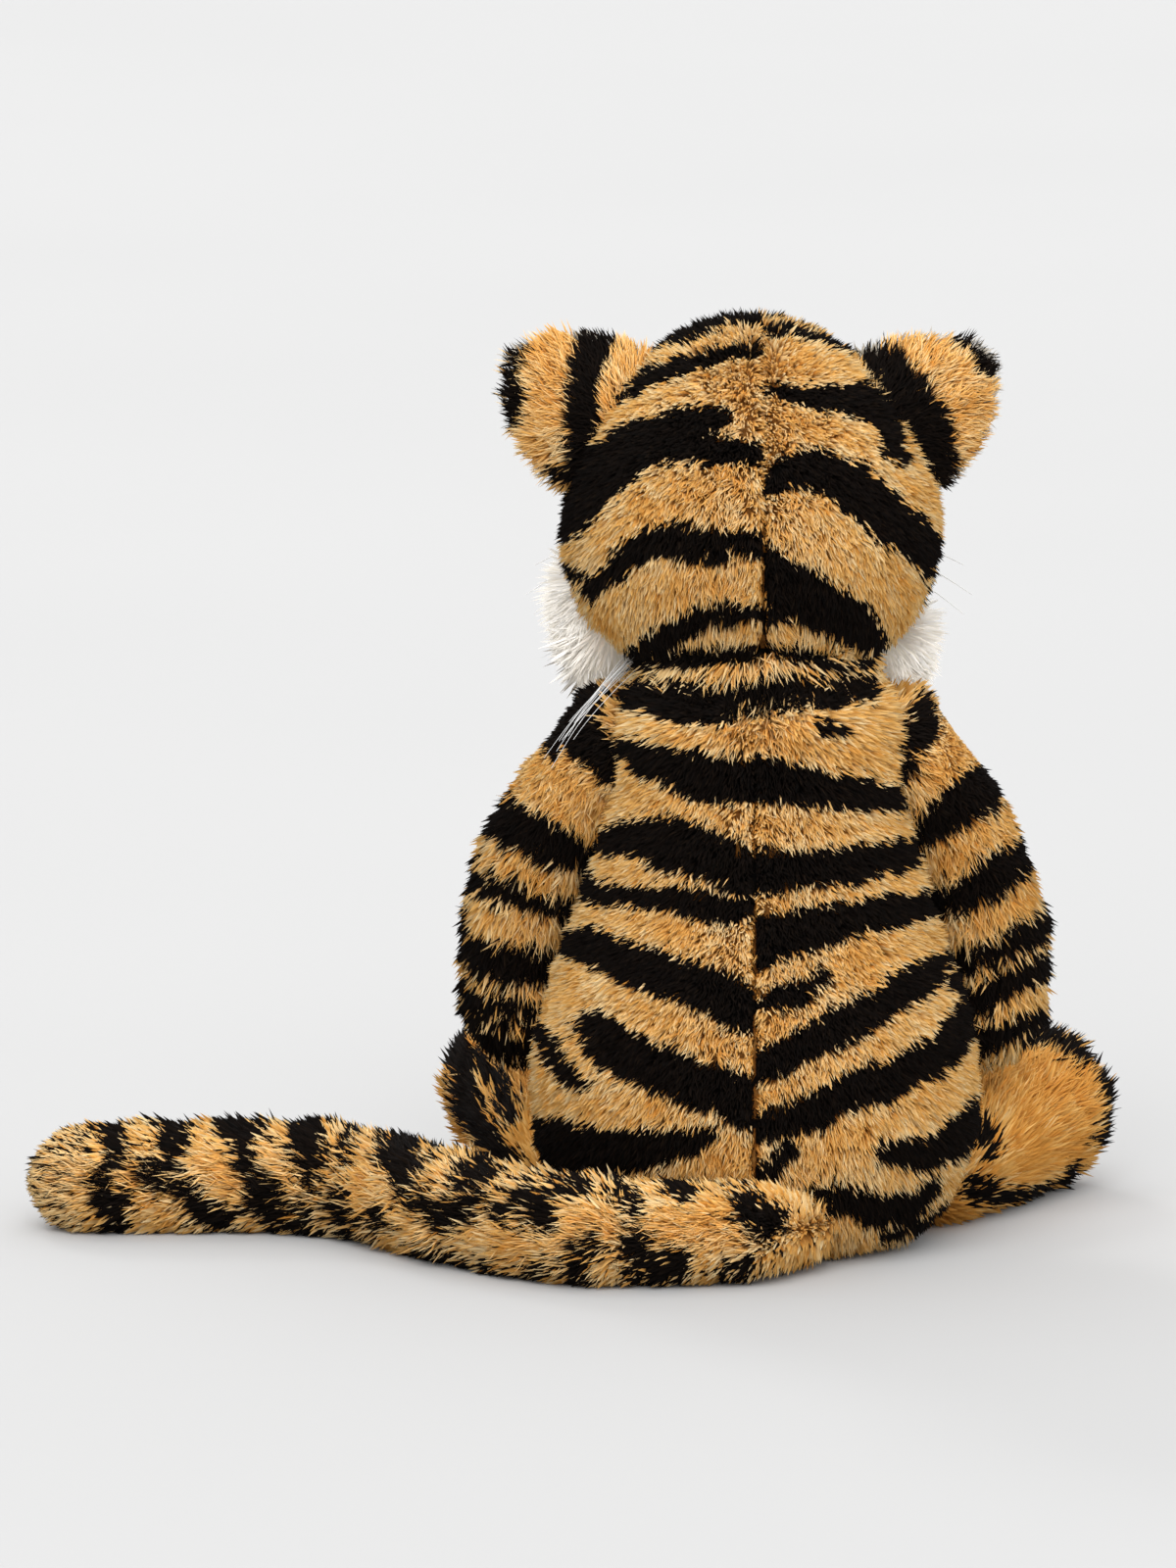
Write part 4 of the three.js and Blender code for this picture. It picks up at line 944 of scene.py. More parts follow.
class TigerForm(bpy.types.PropertyGroup):
    """Sizes of the stuffed forms."""

    body_half_width: length("Body half width", "From the back seam to the widest point of the body", 54.3)
    body_height: length("Body height", "From the seat to the neck", 143)
    neck_height: length("Neck height", "Height of the point that the head turns about", 141)
    neck_radius: length("Neck radius", "Radius of the soft neck", 28)
    head_half_width: length("Head half width", "From the head's middle to its side", 45.5)
    head_height: length("Head height", "From the chin to the crown", 91)
    ear_half_width: length("Ear half width", "Half the width of an ear", 18)
    ear_height: length("Ear height", "From an ear's root to its rim", 26)
    ear_half_thickness: length("Ear half thickness", "Half the thickness of an ear", 3.9)
    arm_length: length("Arm length", "From the shoulder to the paw's middle", 66)
    arm_radius: length("Arm radius", "Radius of an arm", 15.8)
    leg_length: length("Leg length", "From the hip to the toes' middle", 52)
    left_foot_radius: length("Left foot radius", "Radius of the left foot", 17.4)
    right_foot_radius: length("Right foot radius", "Radius of the right foot", 19.6)
    tail_length: length("Tail length", "Reach of the tail along the floor", 178)
    tail_radius: length("Tail radius", "Radius of the tail", 12.6)
    eye_radius: length("Eye radius", "Radius of an eye", 5.2)
    whisker_length: length("Whisker length", "Length of the longest whisker", 46)
    skin_inset: length("Skin inset", "How far the backing cloth lies under the pile's outer surface", 3.8)


class TigerPile(bpy.types.PropertyGroup):
    """How the pile grows."""

    density: FloatProperty(
        name="Density", description="Fibres on a square millimetre", default=4.1, min=0.2, max=6,
    )
    length: length("Length", "Length of a body fibre", 7.6)
    width: length("Width", "Width of a fibre at its widest", 0.37)
    tuft: length("Tuft", "Spacing of the tufts that fibres gather to", 2.4)
    seed: IntProperty(name="Seed", description="Changes where the fibres grow", default=7, min=0)


class TigerColours(bpy.types.PropertyGroup):
    """Colours of the cloths and trims."""

    gold: colour("Gold", "Most of the gold fibres", (0.90, 0.53, 0.166))
    gold_deep: colour("Deep gold", "The darkest gold fibres", (0.74, 0.33, 0.06))
    gold_light: colour("Light gold", "The palest gold fibres", (1.0, 0.79, 0.45))
    black: colour("Black", "Fibres of the stripes", (0.0064, 0.0040, 0.0030))
    cream: colour("Cream", "Ear linings and soles", (0.86, 0.74, 0.56))
    white: colour("White", "Cheeks and muzzle", (0.97, 0.955, 0.93))
    nose: colour("Nose", "Velour of the nose", (0.30, 0.10, 0.09))
    eye: colour("Eye", "Polished eyes", (0.004, 0.003, 0.003))
    seat: colour("Seat", "Woven cloth under the body", (0.42, 0.20, 0.06))
    floor: colour("Floor", "Studio floor", (0.46, 0.46, 0.46))


def sizes(group):
    """The lengths of a group of properties, in millimetres."""
    names = [name for name, rule in group.bl_rna.properties.items() if getattr(rule, "unit", "") == "LENGTH"]
    return SimpleNamespace(**{name: getattr(group, name) / MM for name in names})


# How the pile lies
def combed_down(middle, spread):
    """Nap that falls by one and spreads from the upright line through the middle by the spread."""
    def nap(root, normal):
        out = root - np.asarray(middle, float)
        out[:, 2] = 0
        return unit(out) * spread + (0, 0, -1)
    return nap


def combed_back(aside, spread):
    """Nap that falls by one, runs back by 0.8, and spreads aside from the middle by the spread for each
    millimetre."""
    def nap(root, normal):
        back, fall = np.full(len(root), 0.8), np.full(len(root), -1.0)
        return np.stack([(root[:, 0] - aside) * spread, back, fall], 1)
    return nap


def combed_from(middle, fall):
    """Nap that runs away from a point, with some fall."""
    return lambda root, normal: unit(root - np.asarray(middle, float)) + (0, 0, -fall)


def combed_along(path, flare, fall=0.0):
    """Nap that follows the nearest stretch of a limb's middle line, flares from it and falls a little."""
    line = smooth_line(path, 48)
    ways = unit(np.gradient(line, axis=0))

    def nap(root, normal):
        nearest = np.argmin(((root[:, None] - line) ** 2).sum(-1), 1)
        return ways[nearest] + unit(root - line[nearest]) * flare + (0, 0, -fall)
    return nap


def between(low, high, value):
    """Soft step from 0 to 1 as the value goes from low to high: 3 t squared less 2 t cubed."""
    t = np.clip((value - low) / (high - low), 0, 1)
    return t * t * (3 - 2 * t)


def seen_depth(bands, seed, wander=3.5, spread=BAND_SPREAD):
    """How far a place lies inside the bands, in millimetres, seen in the picture, with wandering edges."""
    def depth_of(places):
        shift = np.stack([waves(places, (15, 8), seed), waves(places, (15, 8), seed + 1)], -1) * wander
        return inside_bands(on_picture(places) + shift, bands) / PIXELS_PER_MM + spread
    return depth_of


def halves(bands, seam):
    """The bands of the left and of the right half, by where their middles lie."""
    edge = PICTURE_MIDDLE - PIXELS_PER_MM * seam
    middle = lambda band: sum(point[0] for point in band) / len(band)
    return [band for band in bands if middle(band) < edge], [band for band in bands if middle(band) >= edge]


def halved_depth(bands, seam, seed, fade_from, fade_to, thin, spread=BAND_SPREAD):
    """Depth inside the bands of the half that a place is on. Bands get thinner by thin as the place comes
    forward from fade_from to fade_to."""
    left, right = (seen_depth(part, seed, spread=spread) for part in halves(bands, seam))

    def depth_of(places):
        depth = np.where(places[..., 0] > seam, left(places), right(places))
        return depth - thin * between(fade_from, fade_to, -places[..., 1])
    return depth_of


def drawn(middle, spread, limits, draw, count):
    """Tones of so many fibres: drawn round a middle one and kept within limits."""
    return np.clip(middle + draw.normal(0, spread, count), *limits)


def fibre_tones(depth_of, seed, pale_of=None, gold_at=GOLD_TONE, mixing=0.7):
    """Tone of each fibre on a striped form: black where a draw falls inside a band's soft edge, gold
    elsewhere, paler beside a band, and white where a pale patch covers it. Tones vary from fibre to fibre
    and, more slowly, over the cloth. Mixing is how far black and gold fibres stray over an edge, in
    millimetres."""
    def tone(root, normal, draw):
        depth, count = depth_of(root), len(root)
        black = depth + draw.normal(0, mixing, count) > 0
        gold = gold_at + CLOTH_VARIES * waves(root, (17, 8), seed) + draw.normal(0, FIBRES_VARY, count)
        gold += BESIDE_BAND[0] * np.clip(1 + depth / BESIDE_BAND[1], 0, 1)
        made = np.where(black, drawn(BLACK_TONE, 0.035, BLACK_RANGE, draw, count), np.clip(gold, *GOLD_RANGE))
        if pale_of is not None:
            pale = pale_of(root) + draw.normal(0, 1.0, count) > 0
            made = np.where(pale & ~black, drawn(WHITE_TONE, 0.03, WHITE_RANGE, draw, count), made)
        return made
    return tone


def tail_tones(depth_of, tip_of, seed):
    """Tone of each fibre on the tail: as elsewhere, more mixed, but its tip is pale gold with stray dark
    fibres."""
    striped = fibre_tones(depth_of, seed, mixing=1.4)

    def tone(root, normal, draw):
        made, count = striped(root, normal, draw), len(root)
        tipped = tip_of(root) + draw.normal(0, 1.5, count) > 0
        stray = draw.random(count) < STRAY_SHARE
        pale = drawn(TIP_TONE, 0.05, TIP_RANGE, draw, count)
        dark = drawn(STRAY_TONE, 0.03, STRAY_RANGE, draw, count)
        return np.where(tipped, np.where(stray, dark, pale), made)
    return tone


def skin_tones(grid, depth_of, pale_of=None):
    """Tone of the backing at each place of a grid: black inside the bands, white in pale patches, else
    gold."""
    unbanded = GOLD_TONE if pale_of is None else np.where(pale_of(grid) > 0, WHITE_TONE, GOLD_TONE)
    return np.where(depth_of(grid) > 0, BLACK_TONE, unbanded)


def plain_tones(middle, spread, seed):
    """Tone of each fibre on a plain form: a middle tone, with slow and quick variation."""
    def tone(root, normal, draw):
        varied = 0.6 * waves(root, (17, 7), seed) + draw.normal(0, 0.6, len(root))
        return np.clip(middle + spread * varied, *PALE_RANGE)
    return tone


def dressed(piece, body, finish, nodes=()):
    """Gives a piece its finish in a slot and the body that it rides on, and hides the frame's nodes that it
    stands for."""
    piece.data.materials.append(finish_named(finish))
    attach(piece, body)
    if nodes:
        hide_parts(*nodes)


def furred(name, grid, look, body, seed, keep=None, nodes=(), finish="tiger pile"):
    """Makes a sewn panel of pile, dressed."""
    piece = pile(name, grid, look, seed + bpy.context.scene.tiger_pile.seed, keep)
    dressed(piece, body, finish, nodes)


def skin(name, grid, tones, body, nodes):
    """Makes a stuffed backing, dressed."""
    dressed(closed_mesh(name, grid, tones=tones), body, "tiger backing", nodes)


def trim(name, grids, body, finish, node):
    """Makes a piece that isn't stuffed or furred, dressed."""
    dressed(closed_mesh(name, *grids), body, finish, (node,))


def middle_and_half(node):
    """Middle of a node of the frame, and half its size, in millimetres."""
    low, high = (np.array(corner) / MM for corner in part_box(node))
    return (low + high) / 2, (high - low) / 2


# The pieces
def aside_and_up(places, middle):
    """Distance aside of an upright line through the middle, and height."""
    return np.stack([np.abs(places[..., 0] - middle), places[..., 2]], -1)


def belly_depth(places):
    """How far a place lies inside the pale patch of the belly."""
    return np.where(places[..., 1] < 0, inside_bands(aside_and_up(places, 0), BELLY_PATCH), OUTSIDE)


def face_pale(places):
    """How far a place lies inside the pale patches of the face, the same on both sides of its middle."""
    depth = inside_bands(aside_and_up(places, HEAD_ASIDE), FACE_PATCHES)
    return np.where(places[..., 1] < FACE_SEAM + 4, depth, OUTSIDE)


def face_depth(places):
    """How far a place lies inside the face's bands, the same on both sides of its middle."""
    wander = (waves(places, (9, 5), 71) * 0.9)[..., None]
    return inside_bands(aside_and_up(places, HEAD_ASIDE) + wander, FACE_BANDS)


def body_stripes(places):
    """How far a place lies inside the body's bands, which thin out towards the belly."""
    return halved_depth(BODY_BANDS, BODY_SEAM, 11, 8, 48, 5)(places)


def head_stripes(places):
    """How far a place lies inside the head's bands: those seen from behind, or the face's own."""
    behind = halved_depth(HEAD_BANDS, HEAD_SEAM, 21, 12, 26, 4, HEAD_SPREAD)(places)
    return np.where(places[..., 1] < FACE_SEAM - 2, face_depth(places), behind)


def neck_stripes(places):
    """How far a place lies inside a band of the head or of the body, whichever holds it deeper."""
    return np.maximum(head_stripes(places), body_stripes(places))


def form_and_fur(context):
    """Sizes of the forms and of the pile, in millimetres."""
    return sizes(context.scene.tiger_form), sizes(context.scene.tiger_pile)


class TIGER_OT_body(bpy.types.Operator):
    """Makes the stuffed body, its seat cloth and its panels of pile"""

    bl_idname = "tiger.body"
    bl_label = "Body"

    def execute(self, context):
        form, fur = form_and_fur(context)
        grid = body_grid(form)
        inside = ("body_cover_left", "body_cover_right", "body_stuffing", "bean_bag", "bean_bag_pellets")
        skin("body_skin", grid, skin_tones(grid, body_stripes, belly_depth), "body", inside)
        reach = middle_and_half("seat_panel")[1][0]
        panel = ball((0, 0, 1.0), (reach, reach * BODY_DEPTH, 0.85), 12, 64)
        trim("seat_cloth", [panel], "body", "seat weave", "seat_panel")
        look = Look(
            combed_down((0, 6, 0), 0.42), fibre_tones(body_stripes, 31, belly_depth), lean=19, mess=0.26,
            length=lambda root: fur.length * (0.82 + 0.55 * between(118, 136, root[:, 2])),
            near_seam=BODY_SEAM,
        )
        outside = lambda root, normal: (normal[:, 2] > -0.93) & (root[:, 2] < form.body_height - 2)
        for side, word in SIDES.items():
            keep = lambda root, normal: (
                outside(root, normal) & (root[:, 1] > BELLY_SEAM) & ((root[:, 0] - BODY_SEAM) * side > 0)
            )
            furred(f"body_fur_{word}", grid, look, "body", 100 + side, keep)
        look.thick = 0.75
        furred("belly_fur", grid, look, "body", 104,
               lambda root, normal: outside(root, normal) & (root[:, 1] <= BELLY_SEAM))
        return {"FINISHED"}


class TIGER_OT_neck(bpy.types.Operator):
    """Makes the soft neck between the body and the head"""

    bl_idname = "tiger.neck"
    bl_label = "Neck"

    def execute(self, context):
        form, fur = form_and_fur(context)
        grid = ball((0, 0, form.neck_height), [form.neck_radius - form.skin_inset] * 3, 36, 56)
        skin("neck_skin", grid, skin_tones(grid, neck_stripes), "neck", ("neck_cover", "neck_stuffing"))
        tones = fibre_tones(neck_stripes, 32, mixing=1.0)
        look = Look(combed_down((0, 0, 0), 0.8), tones, fur.length * 1.35, lean=42)
        keep = lambda root, normal: np.abs(root[:, 2] - form.neck_height) < 12
        furred("neck_fur", grid, look, "neck", 110, keep)
        return {"FINISHED"}


class TIGER_OT_head(bpy.types.Operator):
    """Makes the stuffed head, its sewn panels of pile and the long white cheek fur"""

    bl_idname = "tiger.head"
    bl_label = "Head"

    def execute(self, context):
        form, fur = form_and_fur(context)
        grid = head_grid(form)
        skin("head_skin", grid, skin_tones(grid, head_stripes, face_pale), "head",
             ("face_panel", "head_cover_left", "head_cover_right", "head_stuffing"))
        tones = fibre_tones(head_stripes, 33, face_pale)
        behind = Look(combed_back(HEAD_ASIDE, 0.014), tones, fur.length * 0.88, mess=0.26,
                      lean=lambda root: 23 + 32 * between(166, 150, root[:, 2]), near_seam=HEAD_SEAM)
        for side, word in SIDES.items():
            keep = lambda root, normal: (root[:, 1] > FACE_SEAM) & ((root[:, 0] - HEAD_SEAM) * side > 0)
            furred(f"head_fur_{word}", grid, behind, "head", 120 + side, keep)
        front = Look(combed_from(MUZZLE_PLACE, 0.05), tones, fur.length * 0.75, lean=50, thick=0.9)
        furred("face_fur", grid, front, "head", 125,
               lambda root, normal: (root[:, 1] < FACE_SEAM) & away_from_eyes(root, form))
        for side, word in SIDES.items():
            middle, half = middle_and_half(f"{word}_cheek_ruff")
            egg = ball(middle + RUFF_SHIFTS[side], half - RUFF_INSETS[side], 24, 32)
            white = np.full(egg.shape[:2], WHITE_TONE)
            skin(f"{word}_ruff_skin", egg, white, "head", (f"{word}_cheek_ruff",))
            look = Look(combed_from((HEAD_ASIDE + 8 * side, -36, 172), 0.1), plain_tones(0.94, 0.03, 41),
                        fur.length * RUFF_LENGTHS[side], lean=60, bend=14, gather=0.12, thick=3.2, fine=0.62,
                        mess=0.18, softness=1.0, glow=0.9)
            furred(f"{word}_ruff_fur", egg, look, "head", 130 + side, finish="tiger ruff")
        return {"FINISHED"}


def eye_places():
    """Middle of each eye: the left one's in the frame, and its mirror image across the head's middle."""
    left = middle_and_half("left_eye")[0]
    return {1: left, -1: left * (-1, 1, 1) + (2 * HEAD_ASIDE, 0, 0)}


def away_from_eyes(places, form):
    """Whether places on the face are clear of both eyes."""
    gaps = [np.linalg.norm((places - centre)[:, ::2], axis=-1) for centre in eye_places().values()]
    return np.minimum(*gaps) > form.eye_radius - 0.4


def on_muzzle(across, up, out):
    """Point on the muzzle's egg, at shares of its width and height, moved out along its normal."""
    shares = np.array([across, -math.sqrt(1 - across**2 - up**2), up])
    radii = np.array(MUZZLE_RADII)
    return np.array(MUZZLE_PLACE) + shares * radii + out * unit(shares / radii)


def nose_grid(middle, half):
    """Nose: an egg, wider towards its top, drawn in under each side by a nostril and by a groove down its
    middle."""
    grid = ball((0, 0, 0), (1, 1, 1), 40, 56)
    x, y, z = grid[..., 0], grid[..., 1], grid[..., 2]
    wide = x * (0.78 + 0.3 * z) * (1 + 0.06 * (1 - z * z))
    nostrils = 0.34 * np.exp(-(((np.abs(x) - 0.42) / 0.2) ** 2 + ((z + 0.22) / 0.2) ** 2))
    groove = 0.16 * np.exp(-((x / 0.1) ** 2)) * np.clip(0.3 - z, 0, 1)
    deep = y * (1 - (nostrils + groove) * (y < 0))
    return middle + np.stack([wide, deep, z * (1 - 0.1 * x * x)], -1) * half


class TIGER_OT_muzzle(bpy.types.Operator):
    """Makes the white muzzle, the velour nose and the stitched mouth"""

    bl_idname = "tiger.muzzle"
    bl_label = "Muzzle, nose and mouth"

    def execute(self, context):
        fur = form_and_fur(context)[1]
        x, y, z = MUZZLE_PLACE
        egg = ball(MUZZLE_PLACE, np.array(MUZZLE_RADII) - 1.6, 36, 56)
        crease = np.exp(-((egg[..., 0] - x) / 3) ** 2) * (egg[..., 2] < z)
        egg[..., 1] += 1.2 * crease * (egg[..., 1] < y)
        white = np.full(egg.shape[:2], WHITE_TONE)
        skin("muzzle_skin", egg, white, "head", ("muzzle_cover", "muzzle_stuffing"))
        tones = plain_tones(0.95, 0.02, 43)
        look = Look(combed_from((x, y - 18, z + 6), 0.1), tones, fur.length * 0.42, lean=60)
        keep = lambda root, normal: root[:, 1] < y + 5
        furred("muzzle_fur", egg, look, "head", 140, keep)
        middle, half = middle_and_half("nose")
        trim("nose_velour", [nose_grid(middle, half)], "head", "tiger nose", "nose")
        foot = (0, (middle[2] - half[2] - z) / MUZZLE_RADII[2])
        lines = [(foot, (0, 0), MOUTH_FORK)]
        lines += [(MOUTH_FORK, *((side * across, up) for across, up in MOUTH_CURVE)) for side in SIDES]
        routes = [[on_muzzle(across, up, 0.9) for across, up in line] for line in lines]
        threads = [filament(route, (STITCH_RADIUS,) * 3, 40, 12) for route in routes]
        trim("mouth_thread", threads, "head", "tiger thread", "mouth_stitching")
        return {"FINISHED"}


class TIGER_OT_eyes(bpy.types.Operator):
    """Makes the glossy domed eyes and finishes the washers that lock them"""

    bl_idname = "tiger.eyes"
    bl_label = "Eyes"

    def execute(self, context):
        form = form_and_fur(context)[0]
        for side, centre in eye_places().items():
            back, lift = EYE_FACING
            out = unit(np.array([(centre[0] - HEAD_ASIDE) / form.head_half_width**2, centre[1] / back, lift]))
            across = unit(np.cross((0, 0, 1), out))
            up = np.cross(out, across)
            dome = ball((0, 0, 0), (form.eye_radius, EYE_BULGE, form.eye_radius), 40, 48)
            turned_dome = dome[..., :1] * across - dome[..., 1:2] * out + dome[..., 2:] * up
            eye = f"{SIDES[side]}_eye"
            trim(f"{eye}_dome", [outward(centre + turned_dome)], "head", "tiger eye", eye)
            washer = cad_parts[f"{eye}_washer"].data.materials
            washer.clear()
            washer.append(finish_named("washer plastic"))
        return {"FINISHED"}


def filament(path, radii, rows, columns):
    """Thin smooth tube along a path, for whiskers, hairs and thread."""
    return tube(path, radii, (0, 1, 0), rows, columns, wander=0)


def shoulder_wisp():
    """Long white hairs from the left cheek that fall over the shoulder: one line, whose points each hair
    shares with a shift that grows towards its tip."""
    draw = np.random.default_rng(61)
    share = np.linspace(0, 1, len(WISP_PATH))[:, None]
    hairs = []
    for reach in draw.uniform(0.62, 1.0, WISP_COUNT):
        root_shift, tip_shift = (draw.normal(0, spread, 3) * (1, 0.3, 0.6) for spread in WISP_SPREADS)
        shift = root_shift * (1 - share) + tip_shift * share**1.4
        line = smooth_line(np.array(WISP_PATH) + shift, 40)[: int(40 * reach)]
        hairs.append(filament(line, np.linspace(*WISP_RADII, 6), 36, 6))
    return hairs


class TIGER_OT_whiskers(bpy.types.Operator):
    """Makes the two fans of fine whiskers, each a tapered filament that droops"""

    bl_idname = "tiger.whiskers"
    bl_label = "Whiskers"

    def execute(self, context):
        form = form_and_fur(context)[0]
        across, up, out = WHISKER_KNOT
        share = np.linspace(0, 1, 9)[:, None]
        for side, word in SIDES.items():
            knot = on_muzzle(side * across, up, out)
            threads = []
            for n, (rise, reach, droop) in enumerate(WHISKER_FAN):
                reach = reach * form.whisker_length
                back = share**2 * reach * (WHISKER_BACK[0] + WHISKER_BACK[1] * n)
                down = share * reach * rise - droop * reach * share**2
                start = knot + (0, -0.5 * n, 1.1 * n - 2.4)
                path = start + np.concatenate([side * reach * WHISKER_OUT * share, back, down], 1)
                threads.append(filament(path, WHISKER_RADIUS * (1 - WHISKER_TAPER * share[:, 0]), 40, 8))
            if side > 0:
                threads += shoulder_wisp()
            fan, node = f"{word}_whisker_fan", f"{word}_whiskers"
            trim(fan, threads, "head", "tiger whisker", node)
        return {"FINISHED"}


class TIGER_OT_ears(bpy.types.Operator):
    """Makes the two ears, each with a furry back, a cream lining and a shaggy rim"""

    bl_idname = "tiger.ears"
    bl_label = "Ears"

    def execute(self, context):
        form, fur = form_and_fur(context)
        stripes = seen_depth(EAR_BANDS, 51, 4)
        for side, word in SIDES.items():
            ear = f"{word}_ear"
            grid = ear_grid(form, side)
            root = np.array(EAR_ROOTS[side])
            lining = lambda places: -4 - (places[..., 1] - root[1]) * 2
            behind = lambda places: np.where(lining(places) > 0, OUTSIDE, stripes(places))
            inside = (f"{ear}_back", f"{ear}_lining")
            skin(f"{ear}_skin", grid, skin_tones(grid, behind, lining), ear, inside)
            nap = combed_from(root - ear_axes(side)[0] * 10, 0.12)
            back = Look(nap, fibre_tones(stripes, 34), fur.length * EAR_LENGTHS[side], lean=42, thick=1.35)
            furred(f"{ear}_fur", grid, back, ear, 150 + side, lambda places, normal: normal[:, 1] > EAR_EDGE)
            cream = Look(nap, plain_tones(0.85, 0.05, 44), fur.length * 0.85, lean=62)
            furred(f"{ear}_lining_fur", grid, cream, ear, 154 + side,
                   lambda places, normal: normal[:, 1] <= EAR_EDGE)
        return {"FINISHED"}


def shoulder_share(root, side):
    """Length of the arm's pile as a share of the body's: shorter up the arm, fuller beside the neck and
    trimmed at the shoulder's outer edge."""
    aside, high = np.abs(root[:, 0]), root[:, 2]
    cut, low, top = SHOULDER_TRIMS[side]
    fuller = 0.4 * between(124, 132, high) * (1 - between(35, 43, aside))
    trimmed = cut * between(39, 46, aside) * between(low, top, high)
    return 1.2 - 0.55 * between(108, 130, high) + fuller - trimmed


class TIGER_OT_arms(bpy.types.Operator):
    """Makes the two hanging arms, in place of the frame's arms and the pellets in their paws"""

    bl_idname = "tiger.arms"
    bl_label = "Arms"

    def execute(self, context):
        form, fur = form_and_fur(context)
        for side, word in SIDES.items():
            arm = f"{word}_arm"
            path = arm_path(form, side)
            grid = tube(path, np.array(ARM_SWELL) * form.arm_radius - form.skin_inset, (0, 1, 0))
            stripes = seen_depth(ARM_BANDS[side], 52)
            inside = (f"{arm}_cover", f"{arm}_stuffing", f"{word}_paw_pellets")
            skin(f"{arm}_skin", grid, skin_tones(grid, stripes), arm, inside)
            nap = combed_along(np.concatenate([[path[0] + SHOULDER_HOLD * (side, 1, 1)], path]), 0.4, 0.1)
            look = Look(nap, fibre_tones(stripes, 35, gold_at=0.46, mixing=0.9), lean=42, seen=0.6,
                        gather=0.3, length=lambda root: fur.length * shoulder_share(root, side))
            furred(f"{arm}_fur", grid, look, arm, 160 + side)
        return {"FINISHED"}


class TIGER_OT_legs(bpy.types.Operator):
    """Makes the two legs, which lie on the floor, with cream soles"""

    bl_idname = "tiger.legs"
    bl_label = "Legs"

    def execute(self, context):
        form, fur = form_and_fur(context)
        for side, word in SIDES.items():
            leg = f"{word}_leg"
            path, radii = leg_path(form, side)
            grid = tube(path, radii - form.skin_inset)
            way = unit(path[-1] - path[0])
            sole_at = path[-1] @ way + radii[-1] * 0.55
            stripes = seen_depth(FOOT_BANDS[side], 53)
            sole = lambda places: places @ way - sole_at
            inside = (f"{leg}_cover", f"{leg}_stuffing", f"{word}_foot_pellets")
            skin(f"{leg}_skin", grid, skin_tones(grid, stripes, sole), leg, inside)
            tones = fibre_tones(stripes, 36, gold_at=0.31, mixing=1.0)
            look = Look(combed_from(path[0] - (0, 0, 12), 0.0), tones, fur.length * FOOT_LENGTHS[side],
                        lean=46, seen=0.6, mess=0.24)
            furred(f"{leg}_fur", grid, look, leg, 170 + side,
                   lambda places, normal: (sole(places) <= 0) & (places[:, 2] > 0.4))
            cream = plain_tones(0.86, 0.04, 45)
            pad = Look(combed_from(path[-1] - (0, 0, 6), 0.1), cream, fur.length * 0.45, lean=50)
            furred(f"{word}_sole_fur", grid, pad, leg, 174 + side,
                   lambda places, normal: sole(places) > 0, (f"{word}_foot_sole",))
        return {"FINISHED"}


class TIGER_OT_tail(bpy.types.Operator):
    """Makes the tail in its four lengths, with a pale tip"""

    bl_idname = "tiger.tail"
    bl_label = "Tail"

    def execute(self, context):
        form, fur = form_and_fur(context)
        stripes = seen_depth(TAIL_BANDS, 54, 6)
        reach = TAIL_ROOT[0] + form.tail_length
        tip = lambda places: 1.5 * (places[..., 0] - reach + 1 + 3 * waves(places, (9, 5), 55))
        for n, share in enumerate(TAIL_LENGTHS):
            path = tail_path(form, TAIL_BENDS[n], TAIL_BENDS[n + 1])
            combed, swell = path, np.ones(5)
            if n == 0:
                path, combed = (np.concatenate([[hold], path[1:]]) for hold in (TAIL_HOLD, TAIL_COMBED_FROM))
                swell = np.array(TAIL_ROOT_SWELL)
            grid = tube(path, form.tail_radius * swell - form.skin_inset)
            inside = (f"tail_cover_{n + 1}", f"tail_stuffing_{n + 1}")
            skin(f"tail_skin_{n + 1}", grid, skin_tones(grid, stripes), f"tail_{n + 1}", inside)
            tapered = lambda root: share - 0.45 * between(reach - 10, reach + 4, root[:, 0])
            look = Look(combed_along(combed, 0.45), tail_tones(stripes, tip, 37), lean=44, bend=26, seen=0.5,
                        mess=0.25, gather=0.25, fine=0.74, thick=1.35, dipped=0.12,
                        length=lambda root: fur.length * tapered(root))
            furred(f"tail_fur_{n + 1}", grid, look, f"tail_{n + 1}", 180 + n)
        return {"FINISHED"}


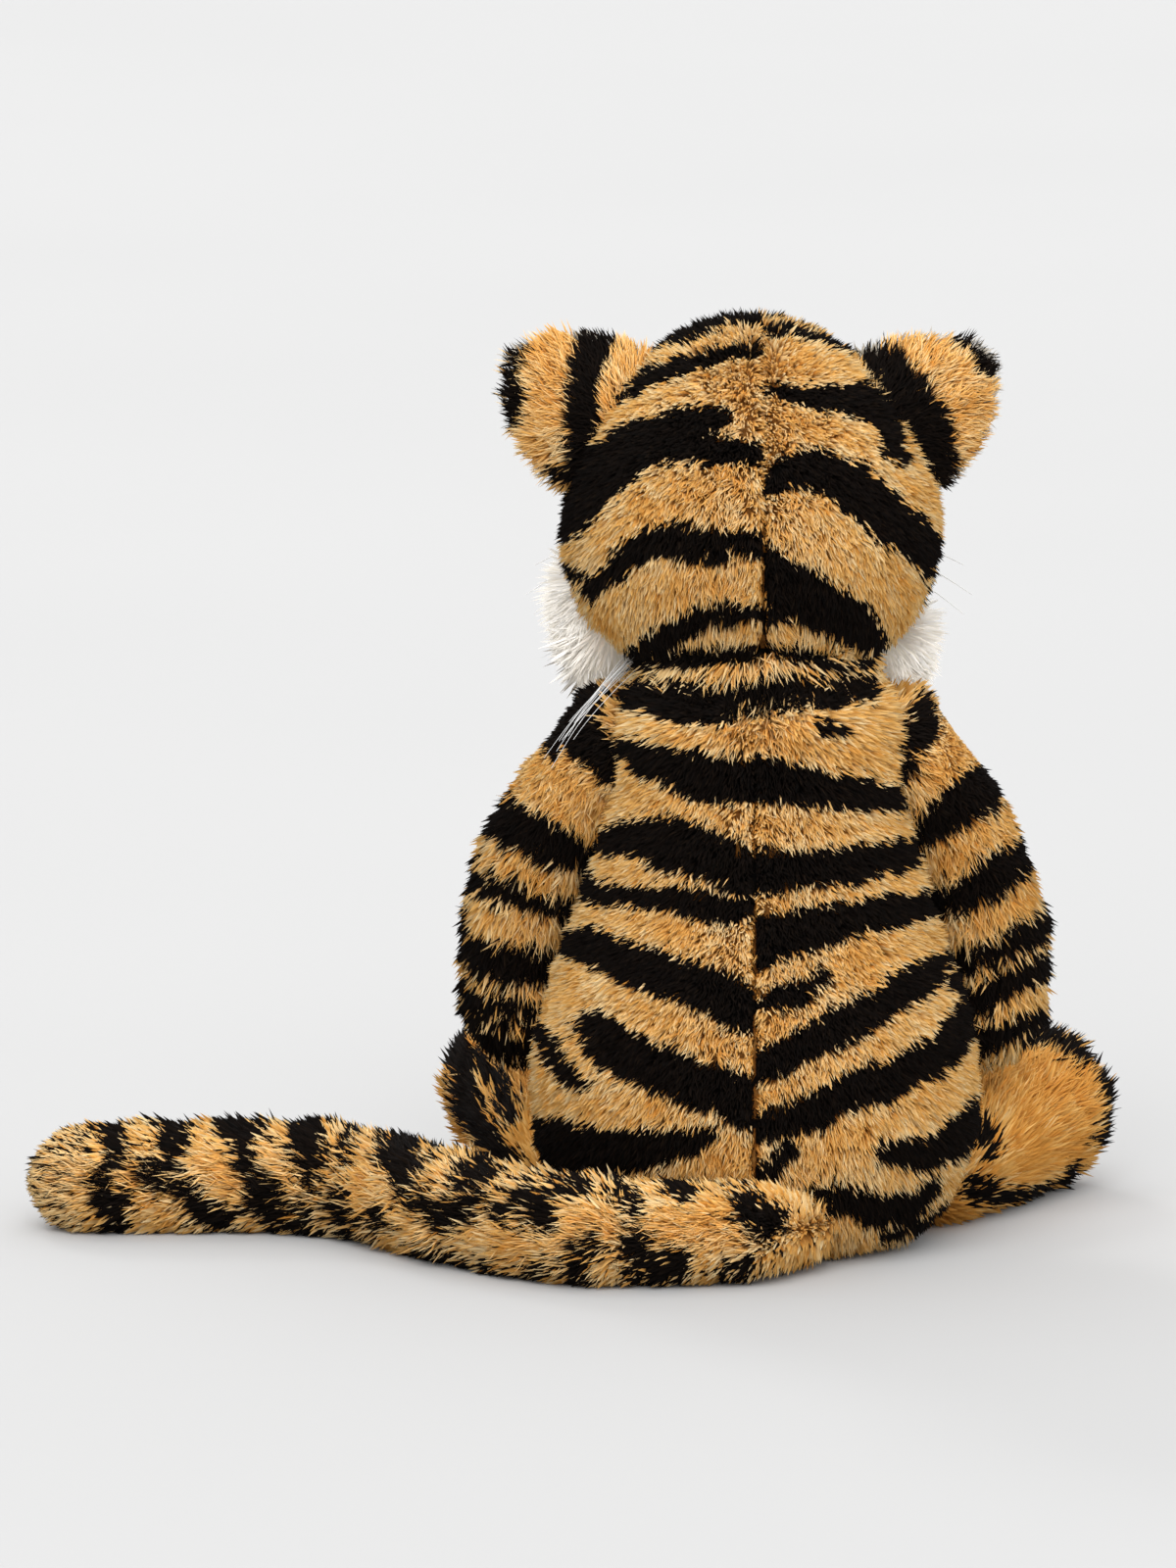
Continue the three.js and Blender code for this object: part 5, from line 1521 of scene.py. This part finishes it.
class TIGER_OT_stage(bpy.types.Operator):
    """Makes the pale floor, the soft studio light and the camera"""

    bl_idname = "tiger.stage"
    bl_label = "Stage"

    def execute(self, context):
        scene = context.scene
        corners = FLOOR_REACH * np.array([(-1, -1, 0), (1, -1, 0), (1, 1, 0), (-1, 1, 0)], float)
        mesh = bpy.data.meshes.new("studio_floor")
        fill_mesh(mesh, corners, np.arange(4, dtype=np.int32), np.array([4], np.int32))
        floor = placed("studio_floor", mesh)
        mesh.materials.append(finish_named("studio floor"))
        scene.world = bpy.data.worlds.new("studio")
        scene.world.use_nodes = True
        sky = scene.world.node_tree.nodes["Background"].inputs
        sky["Color"].default_value, sky["Strength"].default_value = (1, 1, 1, 1), SKY_STRENGTH
        for name, aim, strength, spread in LIGHTS:
            light = bpy.data.lights.new(name, "SUN")
            light.energy, light.angle = strength, math.radians(spread)
            lamp = placed(name, light)
            lamp.rotation_euler = Vector(aim).to_track_quat("Z", "Y").to_euler()
        lens = bpy.data.cameras.new("picture_camera")
        camera = placed("picture_camera", lens)
        away = Vector((0, math.cos(PICTURE_TILT), math.sin(PICTURE_TILT)))
        width, height = (MM * size / PIXELS_PER_MM for size in PICTURE_SIZE)
        aside, up = (MM * place / PIXELS_PER_MM for place in (PICTURE_MIDDLE, PICTURE_FLOOR))
        middle = Vector((aside - width / 2, 0, (up - height / 2) / math.cos(PICTURE_TILT)))
        camera.location = middle + away * CAMERA_DISTANCE
        camera.rotation_euler = (-away).to_track_quat("-Z", "Y").to_euler()
        lens.lens = lens.sensor_width * CAMERA_DISTANCE / height
        lens.clip_start, lens.clip_end = 0.1, 200
        scene.camera = camera
        scene.view_settings.view_transform = "Standard"
        return {"FINISHED"}


PARTS = (
    TIGER_OT_body, TIGER_OT_neck, TIGER_OT_head, TIGER_OT_muzzle, TIGER_OT_eyes, TIGER_OT_whiskers,
    TIGER_OT_ears, TIGER_OT_arms, TIGER_OT_legs, TIGER_OT_tail, TIGER_OT_stage,
)
SETTINGS = {"tiger_form": TigerForm, "tiger_pile": TigerPile, "tiger_colours": TigerColours}


class TIGER_PT_panel(bpy.types.Panel):
    """Lists the sizes, the colours and the pieces"""

    bl_idname = "TIGER_PT_panel"
    bl_label = "Plush tiger"
    bl_space_type = "VIEW_3D"
    bl_region_type = "UI"
    bl_category = "Plush tiger"

    def draw(self, context):
        for name, group in SETTINGS.items():
            box = self.layout.box()
            for rule in group.__annotations__:
                box.prop(getattr(context.scene, name), rule)
        for part in PARTS:
            self.layout.operator(part.bl_idname)


def register():
    for group in (*SETTINGS.values(), *PARTS, TIGER_PT_panel):
        bpy.utils.register_class(group)
    for name, group in SETTINGS.items():
        setattr(bpy.types.Scene, name, PointerProperty(type=group))


def unregister():
    for name in SETTINGS:
        delattr(bpy.types.Scene, name)
    for group in (TIGER_PT_panel, *PARTS[::-1], *SETTINGS.values()):
        bpy.utils.unregister_class(group)


def main():
    """Registers the classes and makes every piece in order."""
    register()
    for part in PARTS:
        family, word = part.bl_idname.split(".")
        getattr(getattr(bpy.ops, family), word)()


if __name__ == "__main__":
    main()
